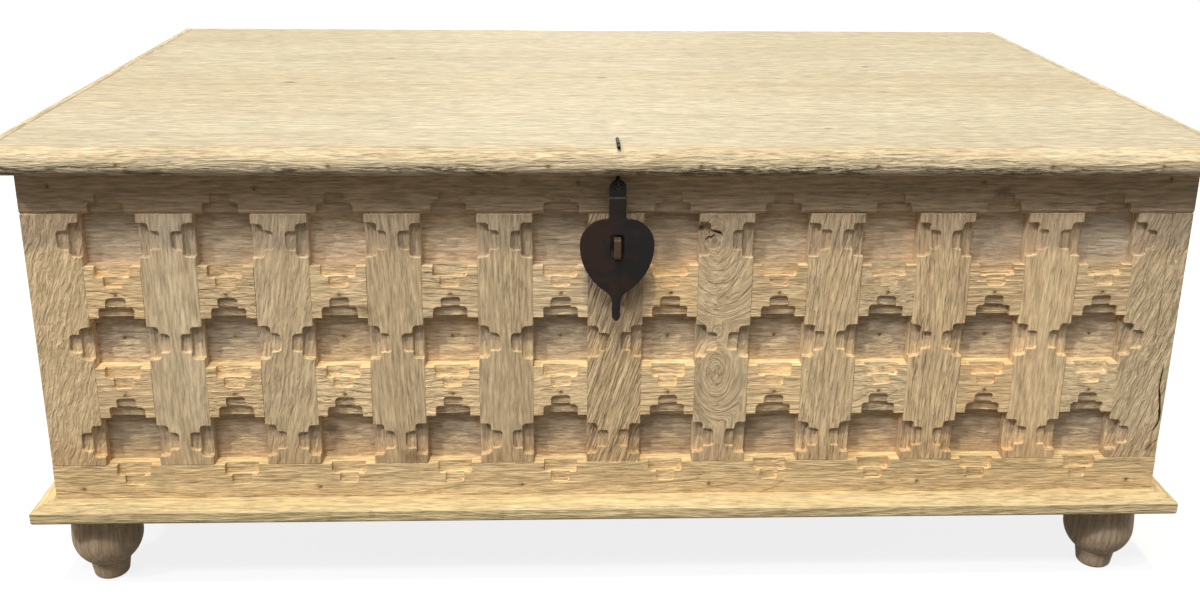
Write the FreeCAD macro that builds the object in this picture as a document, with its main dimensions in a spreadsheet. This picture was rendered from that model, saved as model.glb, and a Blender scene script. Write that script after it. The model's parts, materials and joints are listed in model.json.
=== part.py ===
import FreeCAD, Part
import Sketcher
import math
import os
import re

# A trunk-shaped storage coffee table of pale bleached hardwood: a carved lattice front, a hinged lid with a
# bullnose edge, an iron hasp, a base moulding and four turned feet.
# Millimetres. X runs to the right, Y to the back and Z up, from the floor under the middle of the lid.

# Driving sizes
sizes = {
    # Lid
    "lid_width": 1150,
    "lid_depth": 700,
    "lid_thickness": 25,
    "lid_overhang": 30,
    "nosing_width": 19,
    "nosing_top_radius": 14,
    "nosing_bottom_radius": 9,
    "joint_bevel": 0.8,
    "batten_width": 60,
    "batten_thickness": 18,
    "batten_bevel": 4,
    "batten_inset": 120,
    "batten_end_gap": 25,
    # Chest
    "top_rail_height": 42.6,
    "bottom_rail_height": 35.4,
    "row_height": 51.2,
    "lattice_thickness": 16,
    "rail_arris": 2.5,
    "backing_thickness": 12,
    "side_thickness": 20,
    "back_thickness": 18,
    "bottom_thickness": 14,
    "board_groove": 1.4,
    "post_width": 36,
    "post_bevel": 6,
    "post_top_gap": 4,
    # Stepped notches round each recess of the lattice
    "first_step_length": 33,
    "first_step_reach": 10.8,
    "first_step_depth": 7,
    "second_step_length": 18.5,
    "second_step_reach": 9.7,
    "second_step_depth": 3.5,
    "step_corner_radius": 3.6,
    # Base moulding
    "plinth_thickness": 18,
    "plinth_overhang": 20,
    "plinth_width": 70,
    "plinth_top_flat": 2,
    "plinth_top_radius": 32,
    "plinth_nose_height": 12.3,
    "plinth_under_radius": 3,
    # Turned feet
    "foot_height": 85,
    "foot_inset": 53,
    "foot_toe_radius": 17.5,
    "foot_toe_round": 5,
    "foot_neck_radius": 19.5,
    "foot_neck_height": 18,
    "foot_bead": 1,
    "foot_bulb_radius": 34.5,
    "foot_bulb_height": 47,
    "foot_line_radius": 33.4,
    "foot_line_height": 66,
    "foot_line_depth": 1,
    "foot_collar_radius": 32.6,
    "foot_spigot_radius": 12,
    "foot_spigot_gap": 1.5,
    # Lid hinges
    "hinge_length": 72,
    "hinge_inset": 150,
    "hinge_leaf_thickness": 2,
    "hinge_body_leaf_height": 34,
    "hinge_lid_leaf_width": 17,
    "hinge_knuckle_radius": 5,
    "hinge_knuckle_gap": 0.4,
    "hinge_play": 0.3,
    "hinge_pin_radius": 2.5,
    "hinge_pin_end": 1,
    "hinge_pin_bevel": 0.6,
    "hinge_bore_clearance": 0.05,
    "hinge_body_screw_drop": 21,
    "hinge_lid_screw_reach": 11,
    "hinge_screw_pitch": 24,
    # Hasp, its split pin and its staple
    "hasp_pin_setback": 14.5,
    "hasp_pin_drop": 7.6,
    "hasp_thickness": 2.6,
    "hasp_strap_width": 15.6,
    "hasp_top_rise": 2,
    "hasp_bend_drop": 15,
    "hasp_bend_stand": 4,
    "hasp_tip_lean": 5,
    "hasp_neck_drop": 34,
    "hasp_leaf_width": 69,
    "hasp_leaf_drop": 60,
    "hasp_stem_width": 8,
    "hasp_stem_drop": 118,
    "hasp_tip_drop": 135,
    "hasp_slot_width": 11.4,
    "hasp_slot_height": 24,
    "hasp_slot_drop": 61.6,
    "hasp_eye_clearance": 0.9,
    "split_pin_wire_radius": 1.6,
    "split_pin_ring_radius": 5,
    "split_pin_neck_radius": 2,
    "split_pin_bend_radius": 2.4,
    "split_pin_leg_gap": 0.1,
    "split_pin_front_leg": 7,
    "split_pin_back_leg": 20,
    "split_pin_seat_gap": 0.2,
    "staple_width": 6.5,
    "staple_bar": 3.6,
    "staple_height": 20,
    "staple_reach": 26.5,
    "staple_root": 12,
    "staple_corner_radius": 3,
    # Nails and screws
    "nail_radius": 1.6,
    "nail_length": 24,
    "nail_sink": 0.4,
    "brad_length": 8,
    "nosing_nail_length": 40,
    "screw_head_radius": 3.8,
    "screw_head_height": 2.2,
    "screw_shank_radius": 1.9,
    "screw_length": 13,
    "screw_point": 3,
    "batten_screw_bite": 13,
    # Fits and cuts
    "fit_clearance": 0.1,
    "cut_overrun": 3,
}

# Numbers of repeated pieces
counts = {
    "recess_column_count": 10,
    "recess_row_count": 3,
    "hinge_screw_count": 3,
    "batten_count": 2,
}

# Joints between the boards, as shares of the panel that they divide
lid_seam_shares = [0.198, 0.333, 0.525, 0.683, 0.843]
wall_seam_shares = [0.31, 0.66]
bottom_seam_shares = [0.24, 0.52, 0.75]

# Places of the nails, as shares of the piece that they hold
block_nail_share = 0.46
top_rail_nail_shares = [(0.025, 0.62), (0.197, 0.58), (0.467, 0.7), (0.814, 0.7), (0.975, 0.76)]
bottom_rail_nail_shares = [(0.025, 0.3), (0.235, 0.3), (0.417, 0.32), (0.588, 0.3), (0.78, 0.31),
                           (0.975, 0.28)]
nosing_nail_shares = [0.115, 0.276, 0.445, 0.564, 0.703, 0.841, 0.93]
nosing_nail_height_share = 0.42
# Part of the leaf's side that swells, before it draws in to the stem
leaf_swell_share = 0.8

# Sizes that follow from the driving ones
derived = {
    "body_width": "lid_width - 2 * lid_overhang",
    "body_depth": "lid_depth - 2 * lid_overhang",
    "column_width": "body_width / (2 * recess_column_count + 1)",
    "lattice_height": "(2 * recess_row_count - 1) * row_height",
    "body_height": "bottom_rail_height + lattice_height + top_rail_height",
    "body_level": "foot_height + plinth_thickness",
    "lattice_level": "body_level + bottom_rail_height",
    "lid_level": "body_level + body_height",
    "front_face": "-body_depth / 2",
    "back_face": "body_depth / 2",
    "lattice_back": "front_face + lattice_thickness",
    "inner_front": "lattice_back + backing_thickness",
    "inner_back": "back_face - back_thickness",
    "inner_width": "body_width - 2 * side_thickness",
    "inner_depth": "inner_back - inner_front",
    "first_recess": "1.5 * column_width - body_width / 2",
    "column_pitch": "2 * column_width",
    "field_width": "lid_width - 2 * nosing_width",
    "field_depth": "lid_depth - 2 * nosing_width",
    "batten_place": "inner_width / 2 - batten_inset",
    "plinth_run": "body_width + 2 * plinth_overhang",
    "plinth_depth": "body_depth + 2 * plinth_overhang",
    "foot_under_curve": "((foot_bulb_radius - foot_neck_radius) ^ 2"
                        " + (foot_bulb_height - foot_neck_height - foot_bead) ^ 2)"
                        " / (2 * (foot_bulb_radius - foot_neck_radius))",
    "foot_over_curve": "((foot_bulb_radius - foot_line_radius) ^ 2"
                       " + (foot_line_height - foot_line_depth - foot_bulb_height) ^ 2)"
                       " / (2 * (foot_bulb_radius - foot_line_radius))",
    "hinge_place": "body_width / 2 - hinge_inset",
    "hinge_axis_offset": "hinge_knuckle_radius + hinge_play",
    "hinge_axis_back": "back_face + hinge_axis_offset",
    "hinge_axis_level": "lid_level - hinge_axis_offset",
    "knuckle_length": "(hinge_length - 2 * hinge_knuckle_gap) / 3",
    "knuckle_clear": "hinge_knuckle_radius + hinge_knuckle_gap",
    "hasp_place": "(2 * floor(recess_column_count / 2) + 0.5) * column_width - body_width / 2",
    "hasp_axis_front": "front_face - hasp_pin_setback",
    "hasp_axis_level": "lid_level - hasp_pin_drop",
    "leaf_run": "(hasp_leaf_width - hasp_stem_width) / 2",
    "leaf_fall": "hasp_stem_drop - hasp_leaf_drop",
    "leaf_curve": "(leaf_run ^ 2 + leaf_fall ^ 2) / (2 * leaf_run)",
    "split_pin_leg": "split_pin_wire_radius + split_pin_leg_gap / 2",
    "split_pin_neck_reach": "split_pin_leg + split_pin_neck_radius",
    "split_pin_neck_sum": "split_pin_ring_radius + split_pin_neck_radius",
    "split_pin_neck_level": "sqrt(split_pin_neck_sum ^ 2 - split_pin_neck_reach ^ 2)",
    "split_pin_top": "hasp_pin_drop + lid_thickness + split_pin_wire_radius + split_pin_seat_gap",
    "split_pin_bend": "split_pin_leg + split_pin_bend_radius",
    "screw_head_curve": "(screw_head_radius ^ 2 + screw_head_height ^ 2) / (2 * screw_head_height)",
}

doc = FreeCAD.newDocument("StorageCoffeeTable")
sheet = doc.addObject("Spreadsheet::Sheet", "Sizes")
parts = []
names = set()


def write_cell(name, content):
    """Adds one named cell to the sheet."""
    names.add(name)
    row = len(names)
    sheet.set(f"A{row}", name)
    sheet.set(f"B{row}", content)
    sheet.setAlias(f"B{row}", name)


def fill_sheet():
    """Writes the driving sizes, counts and shares as numbers, then the derived sizes as formulas."""
    for name, value in {**sizes, **counts}.items():
        write_cell(name, str(value))
    write_cell("block_nail_share", str(block_nail_share))
    write_cell("nosing_nail_height_share", str(nosing_nail_height_share))
    write_cell("leaf_swell_share", str(leaf_swell_share))
    for group, shares in (("lid_seam", lid_seam_shares), ("wall_seam", wall_seam_shares),
                          ("bottom_seam", bottom_seam_shares), ("nosing_nail", nosing_nail_shares)):
        for number, share in enumerate(shares, 1):
            write_cell(f"{group}_{number}_share", str(share))
    for group, shares in (("top_rail_nail", top_rail_nail_shares),
                          ("bottom_rail_nail", bottom_rail_nail_shares)):
        for number, (along, up) in enumerate(shares, 1):
            write_cell(f"{group}_{number}_along_share", str(along))
            write_cell(f"{group}_{number}_up_share", str(up))
    doc.recompute()
    for name, formula in derived.items():
        write_cell(name, "=" + formula)
    doc.recompute()


def size(expression):
    """The number that an expression in the sheet's names stands for."""
    return float(sheet.evalExpression(expression))


def bound(expression):
    """The same expression, written for an object outside the sheet."""
    return re.sub(r"[a-z]\w*", lambda word: "Sizes." + word[0] if word[0] in names else word[0], expression)


def bind(feature, prop, expression):
    feature.setExpression(prop, bound(expression))


def new_body(label, exported=True):
    body = doc.addObject("PartDesign::Body", label)
    body.Label = label
    if exported:
        parts.append(body)
    return body


def place(part, x="0", y="0", z="0", turn=0):
    """Puts a sub-part at its place, turned about the upright axis by some degrees."""
    part.Placement = FreeCAD.Placement(FreeCAD.Vector(), FreeCAD.Rotation(FreeCAD.Vector(0, 0, 1), turn))
    for axis, expression in zip("xyz", (x, y, z)):
        bind(part, f"Placement.Base.{axis}", expression)


def add_sketch(body, plane, offset="0", shift="0"):
    """An empty sketch on one of the body's own planes, moved along the plane's normal and along X in it."""
    sketch = body.newObject("Sketcher::SketchObject", body.Label + "_sketch")
    origin = [item for item in body.Origin.OriginFeatures if item.Role == plane + "_Plane"]
    sketch.AttachmentSupport = [(origin[0], "")]
    sketch.MapMode = "FlatFace"
    bind(sketch, "AttachmentOffset.Base.z", offset)
    bind(sketch, "AttachmentOffset.Base.x", shift)
    return sketch


def add_constraints(sketch, entries):
    """Adds constraints given as (constraint, expression) and binds those that have an expression."""
    first = sketch.ConstraintCount
    sketch.addConstraint([entry[0] for entry in entries])
    for number, (_, expression) in enumerate(entries):
        if expression:
            bind(sketch, f"Constraints[{first + number}]", expression)


def place_point(element, end, x, y):
    """Constraints that hold one point of a sketch at a place measured from the sketch's origin."""
    across = Sketcher.Constraint("DistanceX", -1, 1, element, end, size(x))
    upward = Sketcher.Constraint("DistanceY", -1, 1, element, end, size(y))
    return [(across, x), (upward, y)]


def arc_between(start, end, radius, side):
    """The short arc from start to end, with its centre on the left of the way (side 1) or the right (-1)."""
    chord = end - start
    left = FreeCAD.Vector(-chord.y, chord.x, 0).normalize()
    rise = math.sqrt(max(radius ** 2 - (chord.Length / 2) ** 2, 0))
    centre = (start + end) * 0.5 + left * (side * rise)
    first, last = (start, end) if side > 0 else (end, start)
    begin = math.atan2(first.y - centre.y, first.x - centre.x)
    finish = math.atan2(last.y - centre.y, last.x - centre.x)
    if finish < begin:
        finish += 2 * math.pi
    return Part.ArcOfCircle(Part.Circle(centre, FreeCAD.Vector(0, 0, 1), radius), begin, finish)


def draw(sketch, points, closed=True):
    """Draws a chain of lines and arcs through points given as expressions.

    A point is (x, y), or (x, y, radius) where an arc leads to the next point, or (x, y, radius, "hollow")
    where that arc bends the other way. On a closed outline a plain arc bulges outwards; on an open path it
    turns left.
    """
    spots = [FreeCAD.Vector(size(point[0]), size(point[1]), 0) for point in points]
    following = spots[1:] + spots[:1]
    turn = sum(a.x * b.y - a.y * b.x for a, b in zip(spots, following))
    facing = -1 if closed and turn < 0 else 1
    entries = []
    ends = []
    for point, start, end in zip(points, spots, following if closed else spots[1:]):
        if len(point) == 2:
            element = sketch.addGeometry(Part.LineSegment(start, end), False)
            ends.append(((element, 1), (element, 2)))
            continue
        side = -facing if "hollow" in point else facing
        element = sketch.addGeometry(arc_between(start, end, size(point[2]), side), False)
        ends.append(((element, 1), (element, 2)) if side > 0 else ((element, 2), (element, 1)))
        entries.append((Sketcher.Constraint("Radius", element, size(point[2])), point[2]))
    for (here, _), point in zip(ends, points):
        entries += place_point(here[0], here[1], point[0], point[1])
    if not closed:
        entries += place_point(ends[-1][1][0], ends[-1][1][1], points[-1][0], points[-1][1])
    joins = zip(ends, ends[1:] + ends[:1]) if closed else zip(ends, ends[1:])
    for (_, finish), (begin, _) in joins:
        entries.append((Sketcher.Constraint("Coincident", finish[0], finish[1], begin[0], begin[1]), None))
    add_constraints(sketch, entries)


def draw_box(sketch, left, bottom, right, top):
    draw(sketch, [(left, bottom), (right, bottom), (right, top), (left, top)])


def draw_circle(sketch, x, y, radius):
    centre = FreeCAD.Vector(size(x), size(y), 0)
    circle = Part.Circle(centre, FreeCAD.Vector(0, 0, 1), size(radius))
    element = sketch.addGeometry(circle, False)
    entries = place_point(element, 3, x, y)
    entries.append((Sketcher.Constraint("Radius", element, size(radius)), radius))
    add_constraints(sketch, entries)


def pad(body, sketch, length, symmetric=False):
    feature = body.newObject("PartDesign::Pad", body.Label + "_pad")
    feature.Profile = sketch
    feature.SideType = "Symmetric" if symmetric else "One side"
    bind(feature, "Length", length)
    return feature


def pocket(body, sketch, depth=None, forward=False):
    """Cuts against the sketch's normal, or along it if forward; with no depth, right through both ways."""
    feature = body.newObject("PartDesign::Pocket", body.Label + "_pocket")
    feature.Profile = sketch
    if depth:
        feature.Reversed = forward
        bind(feature, "Length", depth)
    else:
        feature.SideType = "Symmetric"
        feature.Type = "ThroughAll"
    return feature


def revolve(body, sketch, axis):
    feature = body.newObject("PartDesign::Revolution", body.Label + "_turning")
    feature.Profile = sketch
    feature.ReferenceAxis = (sketch, [axis])
    return feature


def repeat(body, features, sketch, axis, count, pitch):
    """Repeats features in a row along an axis of a sketch."""
    pattern = body.newObject("PartDesign::LinearPattern", body.Label + "_row")
    pattern.Originals = features
    pattern.Direction = (sketch, [axis])
    pattern.Mode = "Spacing"
    bind(pattern, "Occurrences", count)
    bind(pattern, "Offset", pitch)
    body.Tip = pattern


def drill(body, plane, offset, holes, radius, depth=None, forward=False):
    """Drills round holes at places given on one of the body's planes."""
    sketch = add_sketch(body, plane, offset)
    for x, y in holes:
        draw_circle(sketch, x, y, radius)
    return pocket(body, sketch, depth, forward)


def notch_outline(edge, inward, centre, upright, reach, length):
    """A notch with rounded inner corners, cut into an edge; upright where that edge runs up and down."""
    corners = [
        ("-cut_overrun", f"-{length} / 2"),
        (f"{reach} - step_corner_radius", f"-{length} / 2", "step_corner_radius"),
        (reach, f"step_corner_radius - {length} / 2"),
        (reach, f"{length} / 2 - step_corner_radius", "step_corner_radius"),
        (f"{reach} - step_corner_radius", f"{length} / 2"),
        ("-cut_overrun", f"{length} / 2"),
    ]
    outline = []
    for into, along, *radius in corners:
        spot = (f"{edge} {inward} ({into})", f"{centre} + {along}")
        outline.append((*(spot if upright else reversed(spot)), *radius))
    return outline


def carve(body, notches):
    """Cuts both steps of stepped notches into the front of a lattice piece, and returns the cuts."""
    steps = [
        ("first_step_reach", "first_step_length", "first_step_depth"),
        ("(first_step_reach + second_step_reach)", "second_step_length", "second_step_depth"),
    ]
    cuts = []
    for reach, length, depth in steps:
        sketch = add_sketch(body, "XZ", "lattice_thickness")
        for notch in notches:
            draw(sketch, notch_outline(*notch, reach, length))
        cuts.append(pocket(body, sketch, depth))
    return cuts


def grooved_outline(thickness, height, shares_name, seam_count, side=""):
    """Section of a glued-up panel, with a shallow groove in its outer face at each joint of its boards."""
    points = [("0", "0"), (f"{side}{thickness}", "0"), (f"{side}{thickness}", height), ("0", height)]
    for number in range(seam_count, 0, -1):
        seam = f"{shares_name}_{number}_share * {height}"
        points.append(("0", f"{seam} + board_groove"))
        points.append((f"{side}board_groove", seam))
        points.append(("0", f"{seam} - board_groove"))
    return points


def make_rails():
    """The two long rails that frame the lattice; the top one has an eased lower edge."""
    top = new_body("front_top_rail")
    sketch = add_sketch(top, "YZ")
    draw(sketch, [("0", "0"), ("0", "top_rail_height"), ("-lattice_thickness", "top_rail_height"),
                  ("-lattice_thickness", "rail_arris"), ("rail_arris - lattice_thickness", "0")])
    pad(top, sketch, "body_width", symmetric=True)
    cuts = carve(top, [("0", "+", "first_recess", False)])
    repeat(top, cuts, cuts[0].Profile[0], "H_Axis", "recess_column_count", "column_pitch")
    drill(top, "XZ", "lattice_thickness", rail_nails("top_rail", top_rail_nail_shares),
          "nail_radius + fit_clearance")
    place(top, y="lattice_back", z="lattice_level + lattice_height")

    bottom = new_body("front_bottom_rail")
    sketch = add_sketch(bottom, "XZ")
    draw_box(sketch, "-body_width / 2", "0", "body_width / 2", "bottom_rail_height")
    pad(bottom, sketch, "lattice_thickness")
    cuts = carve(bottom, [("bottom_rail_height", "-", "first_recess", False)])
    repeat(bottom, cuts, sketch, "H_Axis", "recess_column_count", "column_pitch")
    drill(bottom, "XZ", "lattice_thickness", rail_nails("bottom_rail", bottom_rail_nail_shares),
          "nail_radius + fit_clearance")
    place(bottom, y="lattice_back", z="body_level")


def rail_nails(rail, shares):
    """Places of the nails in a rail, measured from the middle of its lower edge."""
    return [(f"({rail}_nail_{number}_along_share - 0.5) * body_width",
             f"{rail}_nail_{number}_up_share * {rail}_height") for number in range(1, len(shares) + 1)]


def make_stiles():
    """Upright strips of the lattice, notched on each side that faces a recess."""
    stile_count = counts["recess_column_count"] + 1
    middle = counts["recess_column_count"] // 2
    for index in range(stile_count):
        body = new_body(f"front_stile_{index + 1:02d}")
        sketch = add_sketch(body, "XZ")
        draw_box(sketch, "-column_width / 2", "0", "column_width / 2", "lattice_height")
        pad(body, sketch, "lattice_thickness")
        notches = []
        if index > 0:
            notches.append(("-column_width / 2", "+", "row_height / 2", True))
        if index < stile_count - 1:
            notches.append(("column_width / 2", "-", "row_height / 2", True))
        repeat(body, carve(body, notches), sketch, "V_Axis", "recess_row_count", "2 * row_height")
        if index == middle:
            cut_staple_sockets(body)
        place(body, f"(2 * {index} + 0.5) * column_width - body_width / 2", "lattice_back", "lattice_level")


def cut_staple_sockets(body):
    """Two blind mortises in the stile behind the hasp, one for each leg of the staple."""
    level = "hasp_axis_level - hasp_slot_drop - lattice_level"
    across = "(staple_width / 2 + fit_clearance)"
    outer = "(staple_height / 2 + fit_clearance)"
    inner = "(staple_height / 2 - staple_bar - fit_clearance)"
    sketch = add_sketch(body, "XZ", "lattice_thickness")
    for side in ("+", "-"):
        draw_box(sketch, f"-{across}", f"{level} {side} {inner}", across, f"{level} {side} {outer}")
    pocket(body, sketch, "staple_root + fit_clearance")


def block_rows():
    """Rows of the lattice that hold blocks, counted from its foot."""
    return range(1, 2 * counts["recess_row_count"] - 1, 2)


def make_blocks():
    """The short blocks between the stiles, one node for each row of them."""
    for number, row in enumerate(block_rows(), 1):
        body = new_body(f"lattice_blocks_{number}")
        sketch = add_sketch(body, "XZ")
        draw_box(sketch, "-column_width / 2", "0", "column_width / 2", "row_height")
        block = [pad(body, sketch, "lattice_thickness")]
        block += carve(body, [("0", "+", "0", False), ("row_height", "-", "0", False)])
        block.append(drill(body, "XZ", "lattice_thickness", [("0", "block_nail_share * row_height")],
                           "nail_radius + fit_clearance"))
        repeat(body, block, sketch, "H_Axis", "recess_column_count", "column_pitch")
        place(body, "first_recess", "lattice_back", f"lattice_level + {row} * row_height")


def nail_rows():
    """Rows of nails across the lattice, as (level above the chest's foot, front of the wood, nail length)."""
    rows = [(f"bottom_rail_height + ({row} + block_nail_share) * row_height", "lattice_thickness",
             "nail_length") for row in block_rows()]
    brads = "bottom_rail_height + (2 * floor(recess_row_count / 2) + 0.5) * row_height"
    return rows + [(brads, "0", "brad_length")]


def loose_nails():
    """Places of the nails in both rails, measured from the middle of the chest's foot."""
    upper = rail_nails("top_rail", top_rail_nail_shares)
    return rail_nails("bottom_rail", bottom_rail_nail_shares) + [
        (x, f"bottom_rail_height + lattice_height + {level}") for x, level in upper]


def make_backing():
    """The panel behind the lattice, which makes the floor of every recess and takes the nails."""
    body = new_body("front_backing_panel")
    sketch = add_sketch(body, "XZ")
    draw_box(sketch, "-inner_width / 2", "0", "inner_width / 2", "body_height")
    pad(body, sketch, "backing_thickness")
    for level, front, length in nail_rows():
        hole = drill(body, "XZ", "backing_thickness", [("first_recess", level)],
                     "nail_radius + fit_clearance", f"{length} + nail_sink - {front} + fit_clearance")
        repeat(body, [hole], sketch, "H_Axis", "recess_column_count", "column_pitch")
    drill(body, "XZ", "backing_thickness", loose_nails(), "nail_radius + fit_clearance",
          "nail_length + nail_sink - lattice_thickness + fit_clearance")
    place(body, y="inner_front", z="body_level")


def make_front_nails():
    """Nails that hold the lattice to its backing, and brads in the middle recesses, all in one node."""
    body = new_body("front_nails")
    for level, front, length in nail_rows():
        sketch = add_sketch(body, "XZ", f"{front} - nail_sink - {length}")
        draw_circle(sketch, "first_recess", level, "nail_radius")
        nail = pad(body, sketch, length)
        repeat(body, [nail], sketch, "H_Axis", "recess_column_count", "column_pitch")
    sketch = add_sketch(body, "XZ", "lattice_thickness - nail_sink - nail_length")
    for x, level in loose_nails():
        draw_circle(sketch, x, level, "nail_radius")
    pad(body, sketch, "nail_length")
    place(body, y="lattice_back", z="body_level")


def make_walls():
    """Side, back and bottom panels, each glued up from boards."""
    for label, side, edge in (("left_side_panel", "", "-"), ("right_side_panel", "-", "")):
        body = new_body(label)
        sketch = add_sketch(body, "XZ")
        outline = grooved_outline("side_thickness", "body_height", "wall_seam", len(wall_seam_shares), side)
        draw(sketch, outline)
        pad(body, sketch, "body_depth - lattice_thickness - back_thickness")
        place(body, f"{edge}body_width / 2", "inner_back", "body_level")

    back = new_body("back_panel")
    sketch = add_sketch(back, "YZ")
    draw(sketch, grooved_outline("back_thickness", "body_height", "wall_seam", len(wall_seam_shares), "-"))
    pad(back, sketch, "body_width", symmetric=True)
    level = "body_height - hinge_axis_offset - hinge_body_screw_drop"
    drill(back, "XZ", "0", [(x, level) for x in hinge_screw_places()], "screw_shank_radius + fit_clearance",
          "screw_length - hinge_leaf_thickness + fit_clearance", forward=True)
    place(back, y="back_face", z="body_level")

    bottom = new_body("bottom_panel")
    sketch = add_sketch(bottom, "YZ")
    outline = grooved_outline("bottom_thickness", "inner_depth", "bottom_seam", len(bottom_seam_shares), "-")
    draw(sketch, [(along, up) for up, along in outline])
    pad(bottom, sketch, "inner_width", symmetric=True)
    place(bottom, y="inner_front", z="body_level + bottom_thickness")


def make_posts():
    """Square posts in the four inner corners, which tie the walls to the bottom."""
    for depth_name, depth_sign, y in (("front", "", "inner_front"), ("back", "-", "inner_back")):
        for side_name, side_sign, x in (("left", "", "-inner_width / 2"), ("right", "-", "inner_width / 2")):
            body = new_body(f"{depth_name}_{side_name}_corner_post")
            sketch = add_sketch(body, "XY")
            draw(sketch, [("0", "0"), (f"{side_sign}post_width", "0"),
                          (f"{side_sign}post_width", f"{depth_sign}(post_width - post_bevel)"),
                          (f"{side_sign}(post_width - post_bevel)", f"{depth_sign}post_width"),
                          ("0", f"{depth_sign}post_width")])
            pad(body, sketch, "body_height - bottom_thickness - post_top_gap")
            place(body, x, y, "body_level + bottom_thickness")


def four_sides(width, depth):
    """Name, turn, place and length of the four strips that go round a rectangle."""
    return [("front", 0, "0", f"-{depth} / 2", width), ("back", 180, "0", f"{depth} / 2", width),
            ("left", -90, f"-{width} / 2", "0", depth), ("right", 90, f"{width} / 2", "0", depth)]


def moulding(label, section, run, width):
    """A strip with mitred ends: its nose lies on its X axis and its width runs towards +Y."""
    body = new_body(label)
    sketch = add_sketch(body, "YZ")
    draw(sketch, section)
    pad(body, sketch, run, symmetric=True)
    mitres = add_sketch(body, "XY")
    for side in ("", "-"):
        draw(mitres, [(f"{side}({run} / 2 + cut_overrun)", "-cut_overrun"),
                      (f"{side}({run} / 2 + cut_overrun)", f"{width} + cut_overrun"),
                      (f"{side}({run} / 2 - {width} - cut_overrun)", f"{width} + cut_overrun")])
    pocket(body, mitres)
    return body


def make_plinth():
    """Base moulding under the chest, bored at its mitres for the spigots of the feet."""
    section = [
        ("plinth_width", "0"), ("plinth_width", "plinth_thickness"),
        ("plinth_overhang - plinth_top_flat", "plinth_thickness", "plinth_top_radius"),
        ("0", "plinth_nose_height"), ("0", "plinth_under_radius", "plinth_under_radius"),
        ("plinth_under_radius", "0"),
    ]
    for name, turn, x, y, run in four_sides("plinth_run", "plinth_depth"):
        body = moulding(f"{name}_plinth", section, run, "plinth_width")
        drill(body, "XY", "0", [(f"{side}({run} / 2 - foot_inset)", "foot_inset") for side in ("", "-")],
              "foot_spigot_radius + fit_clearance")
        place(body, x, y, "foot_height", turn)


def make_feet():
    """Turned onion feet, each with a spigot that goes up into the base moulding."""
    profile = [
        ("0", "0"),
        ("foot_toe_radius - foot_toe_round", "0", "foot_toe_round"),
        ("foot_toe_radius", "foot_toe_round"),
        ("foot_neck_radius", "foot_neck_height - foot_bead"),
        ("foot_neck_radius + foot_bead", "foot_neck_height"),
        ("foot_neck_radius", "foot_neck_height + foot_bead", "foot_under_curve"),
        ("foot_bulb_radius", "foot_bulb_height", "foot_over_curve"),
        ("foot_line_radius", "foot_line_height - foot_line_depth"),
        ("foot_line_radius - foot_line_depth", "foot_line_height"),
        ("foot_line_radius", "foot_line_height + foot_line_depth"),
        ("foot_collar_radius", "foot_height"),
        ("foot_spigot_radius", "foot_height"),
        ("foot_spigot_radius", "body_level - foot_spigot_gap"),
        ("0", "body_level - foot_spigot_gap"),
    ]
    for depth_name, depth_sign in (("front", "-"), ("back", "")):
        for side_name, side_sign in (("left", "-"), ("right", "")):
            body = new_body(f"{depth_name}_{side_name}_foot")
            sketch = add_sketch(body, "XZ")
            draw(sketch, profile)
            revolve(body, sketch, "V_Axis")
            place(body, f"{side_sign}(plinth_run / 2 - foot_inset)",
                  f"{depth_sign}(plinth_depth / 2 - foot_inset)")


def lid_board_edges():
    """Near and far edge of every board of the lid, as shares of its depth."""
    seams = ["0"] + [f"lid_seam_{number}_share" for number in range(1, len(lid_seam_shares) + 1)] + ["1"]
    return list(zip(seams, seams[1:]))


def make_lid_boards():
    """Boards of the lid, edge to edge, with eased top edges."""
    for number, (near, far) in enumerate(lid_board_edges(), 1):
        width = f"({far} - {near}) * field_depth"
        body = new_body(f"lid_board_{number}")
        sketch = add_sketch(body, "YZ")
        draw(sketch, [("0", "0"), (width, "0"), (width, "lid_thickness - joint_bevel"),
                      (f"{width} - joint_bevel", "lid_thickness"), ("joint_bevel", "lid_thickness"),
                      ("0", "lid_thickness - joint_bevel")])
        pad(body, sketch, "field_width", symmetric=True)
        drill(body, "XY", "0", [(f"{side}batten_place", f"{width} / 2") for side in ("", "-")],
              "screw_shank_radius + fit_clearance", "batten_screw_bite + fit_clearance", forward=True)
        if number == 1:
            drill(body, "XZ", "0", nosing_nails(), "nail_radius + fit_clearance",
                  "nosing_nail_length - nosing_width + nail_sink + fit_clearance")
        place(body, y=f"{near} * field_depth - field_depth / 2", z="lid_level")


def nosing_nails():
    """Places of the nails in the front nosing, measured from the middle of its lower edge."""
    return [(f"(nosing_nail_{number}_share - 0.5) * lid_width", "nosing_nail_height_share * lid_thickness")
            for number in range(1, len(nosing_nail_shares) + 1)]


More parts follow.
